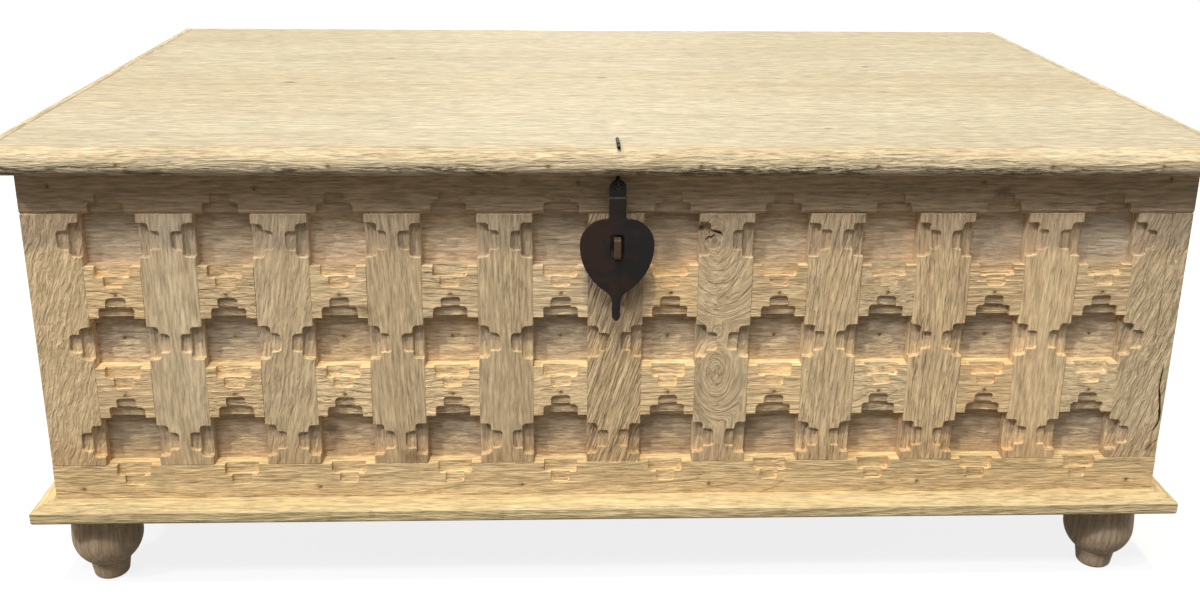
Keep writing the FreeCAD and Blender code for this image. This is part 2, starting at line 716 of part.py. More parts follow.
def make_nosings():
    """Bullnose strips round the lid, mitred at its corners."""
    section = [
        ("nosing_width", "0"),
        ("nosing_width", "lid_thickness - joint_bevel"),
        ("nosing_width - joint_bevel", "lid_thickness"),
        ("nosing_top_radius", "lid_thickness", "nosing_top_radius"),
        ("0", "lid_thickness - nosing_top_radius"),
        ("0", "nosing_bottom_radius", "nosing_bottom_radius"),
        ("nosing_bottom_radius", "0"),
    ]
    for name, turn, x, y, run in four_sides("lid_width", "lid_depth"):
        body = moulding(f"lid_{name}_nosing", section, run, "nosing_width")
        if name == "front":
            drill(body, "XZ", "0", nosing_nails(), "nail_radius + fit_clearance",
                  "nosing_width + cut_overrun")
            slot = add_sketch(body, "XY")
            reach = "(split_pin_bend + fit_clearance)"
            across = "(split_pin_wire_radius + fit_clearance)"
            setback = "lid_overhang - hasp_pin_setback"
            draw_box(slot, f"hasp_place - {across}", f"{setback} - {reach}",
                     f"hasp_place + {across}", f"{setback} + {reach}")
            pocket(body, slot)
        if name == "back":
            setback = "lid_overhang - hinge_axis_offset - hinge_lid_screw_reach"
            drill(body, "XY", "0", [(x, setback) for x in hinge_screw_places()],
                  "screw_shank_radius + fit_clearance", "screw_length - hinge_leaf_thickness + fit_clearance",
                  forward=True)
        place(body, x, y, "lid_level", turn)

    nails = new_body("nosing_nails")
    sketch = add_sketch(nails, "XZ", "-nosing_nail_length - nail_sink")
    for x, level in nosing_nails():
        draw_circle(sketch, x, level, "nail_radius")
    pad(nails, sketch, "nosing_nail_length")
    place(nails, y="-lid_depth / 2", z="lid_level")


def make_battens():
    """Battens across the underside of the lid, inside the chest, and the screws that hold them."""
    middles = [f"(({near} + {far} - 1) * field_depth / 2)" for near, far in lid_board_edges()]
    length = "(inner_depth - 2 * batten_end_gap)"
    middle = "((inner_front + inner_back) / 2)"
    for label, side in (("lid_left_batten", "-"), ("lid_right_batten", "")):
        body = new_body(label)
        sketch = add_sketch(body, "XZ", f"-({middle} + {length} / 2)")
        draw(sketch, [("-batten_width / 2", "0"), ("-batten_width / 2", "batten_bevel - batten_thickness"),
                      ("batten_bevel - batten_width / 2", "-batten_thickness"),
                      ("batten_width / 2 - batten_bevel", "-batten_thickness"),
                      ("batten_width / 2", "batten_bevel - batten_thickness"), ("batten_width / 2", "0")])
        pad(body, sketch, length)
        drill(body, "XY", "0", [("0", y) for y in middles], "screw_shank_radius + fit_clearance")
        place(body, f"{side}batten_place", z="lid_level")

    screws = new_body("batten_screws")
    turned = []
    for y in middles:
        sketch = add_sketch(screws, "XZ", f"-{y}")
        draw(sketch, screw_profile("batten_thickness + batten_screw_bite", "- batten_thickness"))
        turned.append(revolve(screws, sketch, "V_Axis"))
    repeat(screws, turned, sketch, "H_Axis", "batten_count", "2 * batten_place")
    place(screws, "-batten_place", z="lid_level")


def screw_profile(length, seat):
    """Half section of a round-head screw that points up, with its head under the seat."""
    return [
        ("0", f"0 {seat} - screw_head_height", "screw_head_curve"),
        ("screw_head_radius", f"0 {seat}"),
        ("screw_shank_radius", f"0 {seat}"),
        ("screw_shank_radius", f"{length} {seat} - screw_point"),
        ("0", f"{length} {seat}"),
    ]


def hinge_screw_offsets():
    """Places of a leaf's screws along its hinge, from the middle of it."""
    middle = (counts["hinge_screw_count"] - 1) / 2
    return [f"{number - middle} * hinge_screw_pitch" for number in range(counts["hinge_screw_count"])]


def hinge_screw_places():
    """Places along X of the screws of both hinges."""
    return [f"{side}hinge_place + {offset}" for side in ("-", "") for offset in hinge_screw_offsets()]


def hinge_leaf(label, plate, tongue, knuckle_numbers):
    """A hinge leaf: a plate and the knuckles that it is rolled into, bored for the pin.

    Plate and tongue are boxes in the plane across the pin, given as (left, bottom, right, top).
    """
    body = new_body(label)
    sketch = add_sketch(body, "YZ")
    draw_box(sketch, *plate)
    pad(body, sketch, "hinge_length", symmetric=True)
    for number in knuckle_numbers:
        start = f"{number} * (knuckle_length + hinge_knuckle_gap) - hinge_length / 2"
        sketch = add_sketch(body, "YZ", start)
        draw_box(sketch, *tongue)
        pad(body, sketch, "knuckle_length")
        sketch = add_sketch(body, "YZ", start)
        draw_circle(sketch, "0", "0", "hinge_knuckle_radius")
        pad(body, sketch, "knuckle_length")
    drill(body, "YZ", "0", [("0", "0")], "hinge_pin_radius + hinge_bore_clearance")
    return body


def make_hinges():
    """Butt hinges at the back: one leaf on the chest, one under the overhang of the lid, and a pin."""
    offsets = hinge_screw_offsets()
    for name, side in (("left", "-"), ("right", "")):
        where = (f"{side}hinge_place", "hinge_axis_back", "hinge_axis_level")
        skin = "hinge_leaf_thickness - hinge_axis_offset"
        body_leaf = hinge_leaf(
            f"{name}_hinge_chest_leaf",
            ("-hinge_axis_offset", "-hinge_body_leaf_height", skin, "-knuckle_clear"),
            ("-hinge_axis_offset", "-knuckle_clear", skin, "0"), (0, 2))
        drill(body_leaf, "XZ", "0", [(x, "-hinge_body_screw_drop") for x in offsets],
              "screw_shank_radius + fit_clearance")
        place(body_leaf, *where)
        under = "hinge_axis_offset - hinge_leaf_thickness"
        lid_leaf = hinge_leaf(
            f"{name}_hinge_lid_leaf",
            ("knuckle_clear", under, "hinge_lid_leaf_width", "hinge_axis_offset"),
            ("0", under, "knuckle_clear", "hinge_axis_offset"), (1,))
        drill(lid_leaf, "XY", "0", [(x, "hinge_lid_screw_reach") for x in offsets],
              "screw_shank_radius + fit_clearance")
        place(lid_leaf, *where)

        pin = new_body(f"{name}_hinge_pin")
        sketch = add_sketch(pin, "XY")
        half_length = "(hinge_length / 2 + hinge_pin_end)"
        draw(sketch, [(f"-{half_length}", "0"), (half_length, "0"),
                      (half_length, "hinge_pin_radius - hinge_pin_bevel"),
                      (f"{half_length} - hinge_pin_bevel", "hinge_pin_radius"),
                      (f"hinge_pin_bevel - {half_length}", "hinge_pin_radius"),
                      (f"-{half_length}", "hinge_pin_radius - hinge_pin_bevel")])
        revolve(pin, sketch, "H_Axis")
        place(pin, *where)


def make_hinge_screws():
    """Round-head screws of the hinges, one node for those in the chest and one for those in the lid."""
    half_row = "(hinge_screw_count - 1) / 2 * hinge_screw_pitch"
    upward = screw_profile("screw_length", "")
    inward = [(across, f"-({up})", *radius) for across, up, *radius in upward]
    for label, plane, profile, y, z in (
            ("hinge_chest_screws", "XY", inward, "back_face + hinge_leaf_thickness",
             "hinge_axis_level - hinge_body_screw_drop"),
            ("hinge_lid_screws", "XZ", upward, "hinge_axis_back + hinge_lid_screw_reach",
             "lid_level - hinge_leaf_thickness")):
        body = new_body(label)
        for side in ("-", ""):
            sketch = add_sketch(body, plane, shift=f"{side}hinge_place - {half_row}")
            draw(sketch, profile)
            screw = revolve(body, sketch, "V_Axis")
            repeat(body, [screw], sketch, "H_Axis", "hinge_screw_count", "hinge_screw_pitch")
        place(body, "0", y, z)


def make_hasp():
    """Leaf-shaped iron hasp: a bent sheet, cut to a spade outline, with an eye and a slot."""
    bent = new_body("hasp_sheet", exported=False)
    sketch = add_sketch(bent, "YZ")
    top_lean = "hasp_bend_stand * hasp_top_rise / hasp_bend_drop"
    half = "hasp_thickness / 2"
    middle_line = [(top_lean, "hasp_top_rise"), ("-hasp_bend_stand", "-hasp_bend_drop"),
                   ("hasp_tip_lean - hasp_bend_stand", "-hasp_tip_drop")]
    draw(sketch, [(f"{y} + {half}", z) for y, z in middle_line]
         + [(f"{y} - {half}", z) for y, z in reversed(middle_line)])
    pad(bent, sketch, "hasp_leaf_width", symmetric=True)

    spade = new_body("hasp_spade", exported=False)
    sketch = add_sketch(spade, "XZ")
    strap = "hasp_strap_width / 2"
    stem = "hasp_stem_width / 2"
    shoulder = "(hasp_leaf_drop - hasp_neck_drop)"
    side = [
        (strap, f"hasp_top_rise - {strap}"),
        (strap, "-hasp_neck_drop"),
        (f"hasp_leaf_width / 2 - {shoulder}", "-hasp_neck_drop", shoulder),
        ("hasp_leaf_width / 2", "-hasp_leaf_drop", "leaf_swell_share * leaf_curve"),
        ("hasp_leaf_width / 2 - leaf_swell_share * leaf_run",
         "-hasp_leaf_drop - leaf_swell_share * leaf_fall",
         "(1 - leaf_swell_share) * leaf_curve", "hollow"),
        (stem, "-hasp_stem_drop"),
        (stem, f"{stem} - hasp_tip_drop", stem),
    ]
    other = [(f"-({x})", z) for x, z, *_ in reversed(side)]
    arcs = [entry[2:] for entry in reversed(side[:-1])] + [(strap,)]
    draw(sketch, [("0", "hasp_top_rise", strap)] + side + [("0", "-hasp_tip_drop", stem)]
         + [(*spot, *arc) for spot, arc in zip(other, arcs)])
    draw_circle(sketch, "0", "-split_pin_ring_radius", "split_pin_wire_radius + hasp_eye_clearance")
    draw_box(sketch, "-hasp_slot_width / 2", "-hasp_slot_drop - hasp_slot_height / 2",
             "hasp_slot_width / 2", "hasp_slot_height / 2 - hasp_slot_drop")
    pad(spade, sketch, "hasp_leaf_width", symmetric=True)

    hasp = doc.addObject("Part::Common", "hasp")
    hasp.Base = bent
    hasp.Tool = spade
    hasp.Label = "hasp"
    parts.append(hasp)
    place(hasp, "hasp_place", "hasp_axis_front", "hasp_axis_level")


def make_split_pin():
    """Split pin whose ring carries the hasp: its legs go up through the lid and are spread on top of it."""
    body = new_body("hasp_split_pin")
    ring_share = "split_pin_ring_radius / split_pin_neck_sum"
    neck = (f"{ring_share} * split_pin_neck_reach", f"{ring_share} * split_pin_neck_level")
    front_tip = "-split_pin_bend - split_pin_front_leg"
    path = [
        (front_tip, "split_pin_top"),
        ("-split_pin_bend", "split_pin_top", "split_pin_bend_radius", "hollow"),
        ("-split_pin_leg", "split_pin_top - split_pin_bend_radius"),
        ("-split_pin_leg", "split_pin_neck_level", "split_pin_neck_radius", "hollow"),
        (f"-{neck[0]}", neck[1], "split_pin_ring_radius"),
        ("-split_pin_ring_radius", "0", "split_pin_ring_radius"),
        ("0", "-split_pin_ring_radius", "split_pin_ring_radius"),
        ("split_pin_ring_radius", "0", "split_pin_ring_radius"),
        (neck[0], neck[1], "split_pin_neck_radius", "hollow"),
        ("split_pin_leg", "split_pin_neck_level"),
        ("split_pin_leg", "split_pin_top - split_pin_bend_radius", "split_pin_bend_radius", "hollow"),
        ("split_pin_bend", "split_pin_top"),
        ("split_pin_bend + split_pin_back_leg", "split_pin_top"),
    ]
    spine = add_sketch(body, "YZ")
    draw(spine, path, closed=False)
    section = add_sketch(body, "XZ", f"-({front_tip})")
    draw_circle(section, "0", "split_pin_top", "split_pin_wire_radius")
    wire = body.newObject("PartDesign::AdditivePipe", "hasp_split_pin_wire")
    wire.Profile = section
    wire.Spine = (spine, [f"Edge{number}" for number in range(1, len(path))])
    wire.Transition = "Right corner"
    place(body, "hasp_place", "hasp_axis_front", "hasp_axis_level")


def make_staple():
    """Staple that comes out through the slot of the hasp, so that a padlock can go through it."""
    body = new_body("hasp_staple")
    sketch = add_sketch(body, "YZ")
    half = "staple_height / 2"
    inner = "(staple_height / 2 - staple_bar)"
    draw(sketch, [
        ("staple_root", half), ("staple_root", inner), ("staple_bar - staple_reach", inner),
        ("staple_bar - staple_reach", f"-{inner}"), ("staple_root", f"-{inner}"), ("staple_root", f"-{half}"),
        ("staple_corner_radius - staple_reach", f"-{half}", "staple_corner_radius"),
        ("-staple_reach", f"staple_corner_radius - {half}"),
        ("-staple_reach", f"{half} - staple_corner_radius", "staple_corner_radius"),
        ("staple_corner_radius - staple_reach", half),
    ])
    pad(body, sketch, "staple_width", symmetric=True)
    place(body, "hasp_place", "front_face", "hasp_axis_level - hasp_slot_drop")


def check_model():
    """Stops if any object failed, a cut missed its piece, or a sub-part has no sound shape."""
    for item in doc.Objects:
        if "Invalid" in item.State or "Error" in item.State:
            raise RuntimeError(f"{item.Label} failed: {item.State}")
        if item.TypeId == "PartDesign::Pocket" and item.Shape.Volume >= item.BaseFeature.Shape.Volume:
            raise RuntimeError(f"{item.Label} cuts nothing")
    for part in parts:
        if part.Shape.isNull() or not part.Shape.isValid() or not part.Shape.Solids:
            raise RuntimeError(f"{part.Label} has no sound solid")


fill_sheet()
make_rails()
make_stiles()
make_blocks()
make_backing()
make_front_nails()
make_walls()
make_posts()
make_plinth()
make_feet()
make_lid_boards()
make_nosings()
make_battens()
make_hinges()
make_hinge_screws()
make_hasp()
make_split_pin()
make_staple()
doc.recompute()
check_model()

os.makedirs("parts", exist_ok=True)
for part in parts:
    part.Shape.exportStep(f"parts/{part.Label}.step")
print(len(parts), "sub-parts,", sum(len(part.Shape.Solids) for part in parts), "solids")
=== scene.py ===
import json
import math
import random
from collections import namedtuple

import bmesh
import bpy
from mathutils import Matrix, Vector, noise


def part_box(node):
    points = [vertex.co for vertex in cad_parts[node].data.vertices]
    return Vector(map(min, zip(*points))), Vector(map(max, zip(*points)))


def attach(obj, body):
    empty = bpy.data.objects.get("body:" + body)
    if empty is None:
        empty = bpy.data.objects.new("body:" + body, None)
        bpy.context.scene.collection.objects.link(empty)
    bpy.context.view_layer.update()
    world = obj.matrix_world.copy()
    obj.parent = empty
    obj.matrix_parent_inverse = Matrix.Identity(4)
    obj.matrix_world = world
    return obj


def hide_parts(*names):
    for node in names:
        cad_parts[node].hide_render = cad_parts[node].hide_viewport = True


# Dresses the storage coffee table: worn, brushed wood with hand-cut carving, and dark iron.
# Metres. X runs to the right, Y to the back and Z up, from the floor under the middle of the lid.

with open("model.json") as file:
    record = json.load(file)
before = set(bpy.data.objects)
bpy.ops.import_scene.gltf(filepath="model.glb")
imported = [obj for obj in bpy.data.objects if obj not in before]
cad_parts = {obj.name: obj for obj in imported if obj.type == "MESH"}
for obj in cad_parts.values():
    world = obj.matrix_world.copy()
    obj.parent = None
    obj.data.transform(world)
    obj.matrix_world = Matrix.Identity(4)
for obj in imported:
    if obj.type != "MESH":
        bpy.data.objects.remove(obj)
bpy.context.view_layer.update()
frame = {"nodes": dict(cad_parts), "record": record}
nodes = frame["nodes"]
bodies = frame["record"]["behaviour"]["bodies"]
body_of = {node: body for body, members in bodies.items() for node in members}
slot_of = {entry["node"]: entry["material_slot"] for entry in frame["record"]["subparts"]}
rng = random.Random(41)

# Columns and rows of the carved front, placed by its middle strip
column_count = 21
row_count = 5
strip_low, strip_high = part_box("front_stile_06")
front = strip_low.y
lattice_back = strip_high.y
column = strip_high.x * 2
lattice_low = strip_low.z
lattice_high = strip_high.z
row = (lattice_high - lattice_low) / row_count

# Places on other faces that carry nails, knots and torn fibres
carved_step = front + 0.006
lid_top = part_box("lid_board_1")[1].z
nosing_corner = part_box("lid_front_nosing")[0]
nosing_face = nosing_corner.y + 0.0004
nosing_low = nosing_corner.z
nosing_nail_height = nosing_low + 0.0105
plinth_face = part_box("front_plinth")[0].y + 0.0005


class Tree:
    """Short names for building the nodes of a material or the world."""

    def __init__(self, owner, main="Principled BSDF"):
        owner.use_nodes = True
        self.owner = owner
        self.tree = owner.node_tree
        self.main = self.tree.nodes[main]

    def add(self, kind, out=0, inputs=(), **settings):
        """Adds a node, sets it up, links or fills its inputs, and returns one of its outputs."""
        node = self.tree.nodes.new(kind)
        for name, value in settings.items():
            setattr(node, name, value)
        sockets = inputs.items() if isinstance(inputs, dict) else enumerate(inputs)
        for key, value in sockets:
            self.feed(node.inputs[key], value)
        return node.outputs[out]

    def feed(self, socket, value):
        """Links an output to a socket, or sets the socket to a constant."""
        if isinstance(value, bpy.types.NodeSocket):
            self.tree.links.new(value, socket)
        else:
            socket.default_value = value

    def math(self, operation, *values):
        return self.add("ShaderNodeMath", 0, values, operation=operation)

    def times(self, first, *others):
        """The product of all the values."""
        product = first
        for value in others:
            product = self.math("MULTIPLY", product, value)
        return product

    def plus(self, base, share, *values):
        """A base, with a share of the product of the values added to it."""
        return self.math("MULTIPLY_ADD", self.times(*values), share, base)

    def vector(self, operation, *values):
        out = 1 if operation in ("LENGTH", "DISTANCE") else 0
        return self.add("ShaderNodeVectorMath", out, values, operation=operation)

    def scaled(self, vector, size):
        return self.add("ShaderNodeVectorMath", 0, {0: vector, "Scale": size}, operation="SCALE")

    def join(self, x, y, z):
        return self.add("ShaderNodeCombineXYZ", 0, (x, y, z))

    def parts(self, vector):
        node = self.tree.nodes.new("ShaderNodeSeparateXYZ")
        self.feed(node.inputs[0], vector)
        return node.outputs

    def here(self):
        """The place of the shaded point, with the object at rest."""
        return self.add("ShaderNodeTexCoord", "Object")

    def attribute(self, name, out="Vector"):
        return self.add("ShaderNodeAttribute", out, attribute_name=name)

    def noise(self, vector, scale=1.0, detail=2.0, roughness=0.5, out="Fac"):
        inputs = {"Vector": vector, "Scale": scale, "Detail": detail, "Roughness": roughness}
        return self.add("ShaderNodeTexNoise", out, inputs)

    def span(self, value, low, high, to_low=0.0, to_high=1.0):
        """Maps a range of values to another, with smooth ends."""
        return self.add("ShaderNodeMapRange", 0, (value, low, high, to_low, to_high),
                        interpolation_type="SMOOTHSTEP")

    def mix(self, share, first, second, blend="MIX"):
        node = self.tree.nodes.new("ShaderNodeMix")
        node.data_type = "RGBA"
        node.blend_type = blend
        for index, value in ((0, share), (6, first), (7, second)):
            self.feed(node.inputs[index], value)
        return node.outputs[2]

    def bump(self, height, distance):
        return self.add("ShaderNodeBump", 0, {"Height": height, "Distance": distance})

    def seen(self):
        """1 where the camera sees this itself, directly or mirrored, and 0 where it only lights."""
        path = self.tree.nodes.new("ShaderNodeLightPath").outputs
        mirrored = self.math("MAXIMUM", path["Is Glossy Ray"], path["Is Transmission Ray"])
        return self.math("MAXIMUM", path["Is Camera Ray"], mirrored)

    def finish(self, **inputs):
        """Feeds the main shader by the names of its inputs, and returns the material or world."""
        for key, value in inputs.items():
            self.feed(self.main.inputs[key.replace("_", " ")], value)
        return self.owner


def rgb(red, green, blue):
    return (red, green, blue, 1.0)


# Noise in the grain: cells per metre along it and across it, detail and roughness
grain_noises = {
    "curl": (42.0, 95.0, 2.0, 0.50),
    "wander": (2.6, 9.0, 2.0, 0.50),
    "wobble": (9.0, 75.0, 2.0, 0.50),
    "fibre": (48.0, 430.0, 3.0, 0.65),
    "coarse": (13.0, 210.0, 2.0, 0.55),
    "pore": (60.0, 800.0, 1.0, 0.50),
    "pore patch": (7.0, 55.0, 2.0, 0.50),
    "band": (1.1, 36.0, 2.0, 0.60),
    "cloud": (2.0, 10.0, 3.0, 0.50),
    "rip": (75.0, 480.0, 3.0, 0.60),
    "rip patch": (9.0, 60.0, 2.0, 0.50),
    "gouge": (190.0, 400.0, 2.0, 0.55),
    "chatter": (160.0, 520.0, 2.0, 0.55)}

# Values of the noise between which patches of a kind begin and are full
patch_limits = {"pore": (0.56, 0.70), "pore patch": (0.40, 0.62), "band": (0.44, 0.70), "cloud": (0.32, 0.68),
                "rip": (0.46, 0.58), "rip patch": (0.34, 0.56)}

# Marks on the wood, how much of the colour they cover, and their own colour: stains, wear and torn fibres, a
# split's dark that is partly painted shade, and spots of painted shade
stains_and_shade = {
    "pore": (0.32, rgb(0.20, 0.13, 0.075)),
    "worn": (0.40, rgb(0.70, 0.57, 0.39)),
    "nail": (0.38, rgb(0.30, 0.17, 0.08)),
    "split": (0.90, rgb(0.030, 0.022, 0.018)),
    "knot": (0.62, rgb(0.20, 0.13, 0.08)),
    "painted_shade_spots": (0.95, rgb(0.025, 0.019, 0.016)),
    "rip": (0.85, rgb(0.12, 0.085, 0.055))}
grime_tint = rgb(0.90, 0.83, 0.77)

# How strongly each part of the grain shades the colour, and how high it stands in the relief
shade_shares = {"late": 0.40, "band": 0.75, "fibre": 1.75, "coarse": 0.36}
height_shares = {"late": 0.3, "coarse": 0.6, "pore": -0.4, "rip": -1.2, "chatter": 0.9, "gouge": 0.75}

# How far curly growth pushes the grain, how far a pith wanders, and how uneven rings are
curl_push = 0.010
pith_wander = 0.085
ring_wobble = 0.9

# Shares of a growth ring at which its late wood begins and is darkest
late_start = 0.3
late_full = 0.9

# Values of the coarse noise between which the wood of an edge is worn
worn_limits = (0.35, 0.6)


def grain_noise(t, place, kind, out="Fac"):
    """Noise of one kind, drawn out along the grain."""
    along, across, detail, roughness = grain_noises[kind]
    return t.noise(t.vector("MULTIPLY", place, (along, across, across)), 1.0, detail, roughness, out)


def grain_patches(t, place, kind):
    """1 in patches of one kind, and 0 between them."""
    return t.span(grain_noise(t, place, kind), *patch_limits[kind])


def swirled(t, straight, swirl):
    """Turns the upright grain of one strip into long rings round a knot, out to a reach."""
    centre_x, centre_z, reach, strip_middle = swirl
    slimness = 1.8
    turn_length = reach / 3
    side_drift = 0.3
    full_share = 0.5
    x, _, z = t.parts(t.here())
    in_strip = t.times(t.math("COMPARE", x, strip_middle, column / 2), t.math("LESS_THAN", z, lattice_high))
    aside = t.math("SUBTRACT", x, centre_x)
    above = t.math("SUBTRACT", z, centre_z)
    away = t.vector("LENGTH", t.join(t.times(aside, slimness), 0.0, above))
    turn = t.math("ARCTAN2", t.math("ABSOLUTE", aside), t.times(above, -1.0))
    rings = t.join(t.math("SUBTRACT", t.times(turn, turn_length), above), t.math("SUBTRACT", away, aside),
                   t.times(aside, side_drift))
    share = t.times(t.span(away, reach, reach * full_share), in_strip)
    return t.vector("ADD", straight, t.scaled(rings, share))


def late_wood(t, place, ring_spacing):
    """1 on the hard, dark side of each growth ring, round a pith that wanders along the board."""
    _, side, depth = t.parts(place)
    wander = t.times(t.math("SUBTRACT", grain_noise(t, place, "wander"), 0.5), pith_wander)
    radius = t.vector("LENGTH", t.join(t.math("ADD", side, wander), depth, 0.0))
    wobble = t.times(grain_noise(t, place, "wobble"), ring_wobble)
    phase = t.math("FRACT", t.math("ADD", t.math("DIVIDE", radius, ring_spacing), wobble))
    return t.times(t.span(phase, late_start, late_full), t.span(phase, 1.0, late_full))


def nail_stain(t, spots, column_spots):
    """Where iron has stained the wood: round single spots, and round spots in every second column."""
    reach = 0.0085
    full_reach = 0.0042
    fray = 0.006
    here = t.here()
    x, y, z = t.parts(here)
    frayed = t.times(t.noise(here, 420.0, 2.0), fray)
    folded = t.join(t.math("WRAP", t.math("ADD", x, column), column, -column), y, z)
    nearest = 1.0
    for place, spot in [(here, spot) for spot in spots] + [(folded, spot) for spot in column_spots]:
        nearest = t.math("MINIMUM", nearest, t.vector("DISTANCE", place, spot))
    return t.span(t.math("ADD", nearest, frayed), reach, full_reach)


def knot_and_shade_darkness(t, knots):
    """How dark knots, old stains and spots of painted shade are, each given as a place and a reach. They are
    longer along X.
    """
    slimness = 0.75
    fray = 0.9
    full_share = 0.15
    here = t.here()
    frayed = t.plus(-fray / 2, fray, t.noise(here, 260.0, 3.0))
    darkest = 0.0
    for x, y, z, reach in knots:
        offset = t.vector("SUBTRACT", here, (x, y, z))
        away = t.vector("LENGTH", t.vector("MULTIPLY", offset, (slimness / reach, 1 / reach, 1 / reach)))
        darkest = t.math("MAXIMUM", darkest, t.span(t.math("ADD", away, frayed), 1.0, full_share))
    return darkest


def browned(t, low, high):
    """Where the feet of the front have browned, from just above a height up to a ragged one."""
    fray = 0.012
    clear = 0.0004
    full = 0.002
    here = t.here()
    z = t.parts(here)[2]
    frayed = t.plus(z, fray, t.noise(here, 120.0, 3.0))
    return t.times(t.span(frayed, high + fray / 2, low + fray / 2), t.span(z, low + clear, low + full))


def torn_fibres(t, place, low, high):
    """Where fibres are torn out between two heights."""
    fade_above = 0.004
    fade_below = 0.002
    z = t.parts(t.here())[2]
    between = t.times(t.span(z, high, high - fade_above), t.span(z, low - fade_below, low))
    return t.times(grain_patches(t, place, "rip"), grain_patches(t, place, "rip patch"), between)


def stained(t, colour, kind, where, strength=1.0):
    """The colour, with a stain, wear or painted shade of one kind over it."""
    share, tone = stains_and_shade[kind]
    return t.mix(t.times(where, share * strength), colour, tone)


def shaded(t, value, share):
    """A factor round 1 that follows a noise."""
    return t.plus(1.0, share, t.math("SUBTRACT", value, 0.5))


def wood(name, light, middle, dark, streak, contrast, relief, ring_spacing=0.0065, spots=(), column_spots=(),
         knots=(), painted_shade_spots=(), torn=None, grime=None, swirls=()):
    """Bleached wood, brushed so that the soft grain lies low and the pores stand open.

    The attribute "wood" holds a place in the piece as (along the grain, across it, across it again), "tint" a
    colour for the whole piece, with painted light and shade in it on the top rail and the recess floors,
    "trait" its relief, its curl and its dark streaks, and "marks" says where the surface was cut by hand,
    where an edge is worn, and where a joint is dark or a split is painted near black, partly its dark fill
    and partly painted shade.
    """
    t = Tree(bpy.data.materials.new(name))
    straight = t.attribute("wood")
    for swirl in swirls:
        straight = swirled(t, straight, swirl)
    ridges, curl, streaks = t.parts(t.attribute("trait"))
    chisel, edge, inside = t.parts(t.attribute("marks"))

    # Curly growth pushes the grain to and fro
    push = t.vector("SUBTRACT", grain_noise(t, straight, "curl", "Color"), (0.5, 0.5, 0.5))
    push = t.vector("MULTIPLY", push, (0.0, curl_push, curl_push))
    place = t.vector("ADD", straight, t.scaled(push, curl))

    late = late_wood(t, place, ring_spacing)
    fibre = grain_noise(t, place, "fibre")
    coarse = grain_noise(t, place, "coarse")
    pores = t.times(grain_patches(t, place, "pore"), grain_patches(t, place, "pore patch"))
    bands = t.times(grain_patches(t, place, "band"), streaks)

    colour = t.mix(grain_patches(t, place, "cloud"), light, middle)
    colour = t.mix(t.times(late, shade_shares["late"] * contrast), colour, dark)
    colour = t.mix(t.times(bands, shade_shares["band"]), colour, streak)
    shade = t.times(shaded(t, fibre, shade_shares["fibre"] * contrast),
                    shaded(t, coarse, shade_shares["coarse"] * contrast))
    colour = t.mix(1.0, colour, t.join(shade, shade, shade), "MULTIPLY")
    colour = stained(t, colour, "pore", pores, contrast)
    colour = t.mix(1.0, colour, t.attribute("tint", "Color"), "MULTIPLY")
    colour = stained(t, colour, "worn", t.times(edge, t.span(coarse, *worn_limits)))
    if spots or column_spots:
        colour = stained(t, colour, "nail", nail_stain(t, spots, column_spots))
    # A split's faces are painted near black, partly its dark fill and partly painted shade of its depth; dark
    # joints use the same mark
    colour = stained(t, colour, "split", inside)
    if knots:
        colour = stained(t, colour, "knot", knot_and_shade_darkness(t, knots))
    # Painted shade: near-black spots where only shade falls, behind the hasp's slot and beside a split
    if painted_shade_spots:
        colour = stained(t, colour, "painted_shade_spots", knot_and_shade_darkness(t, painted_shade_spots))
    if grime:
        colour = t.mix(browned(t, *grime), colour, t.mix(1.0, colour, grime_tint, "MULTIPLY"))

    height = t.plus(fibre, height_shares["late"], late)
    height = t.plus(height, height_shares["coarse"], coarse, ridges)
    height = t.plus(height, height_shares["pore"], pores)
    height = t.times(height, ridges)
    if torn:
        rips = torn_fibres(t, place, *torn)
        colour = stained(t, colour, "rip", rips)
        height = t.plus(height, height_shares["rip"], rips)
    height = t.plus(height, height_shares["chatter"], grain_noise(t, place, "chatter"), curl)
    height = t.plus(height, height_shares["gouge"], grain_noise(t, straight, "gouge"), chisel)
    return t.finish(Base_Color=colour, Roughness=t.plus(0.55, 0.25, fibre), Normal=t.bump(height, relief),
                    Specular_IOR_Level=0.12)


def bend_shade_and_highlight(t, colour, fine, bend):
    """Painted shade of the lid on iron: black above the height of a bend and darker just below it, with an
    uneven painted highlight line at the bend.
    """
    dark_start = bend - 0.034
    dark_full = bend - 0.016
    line_low = bend - 0.0022
    line_middle = bend - 0.001
    black_fade = 0.0006
    z = t.parts(t.here())[2]
    dark = t.times(t.span(z, dark_start, dark_full), 0.5)
    colour = t.mix(dark, colour, rgb(0.006, 0.0055, 0.006))
    line = t.times(t.span(z, line_low, line_middle), t.span(z, bend, line_middle))
    uneven = t.span(fine, 0.3, 0.7, 0.3, 0.9)
    colour = t.mix(t.times(line, uneven), colour, rgb(0.11, 0.10, 0.105))
    black = t.times(t.span(z, bend - black_fade, bend + black_fade), 0.85)
    return t.mix(black, colour, rgb(0.002, 0.002, 0.002))


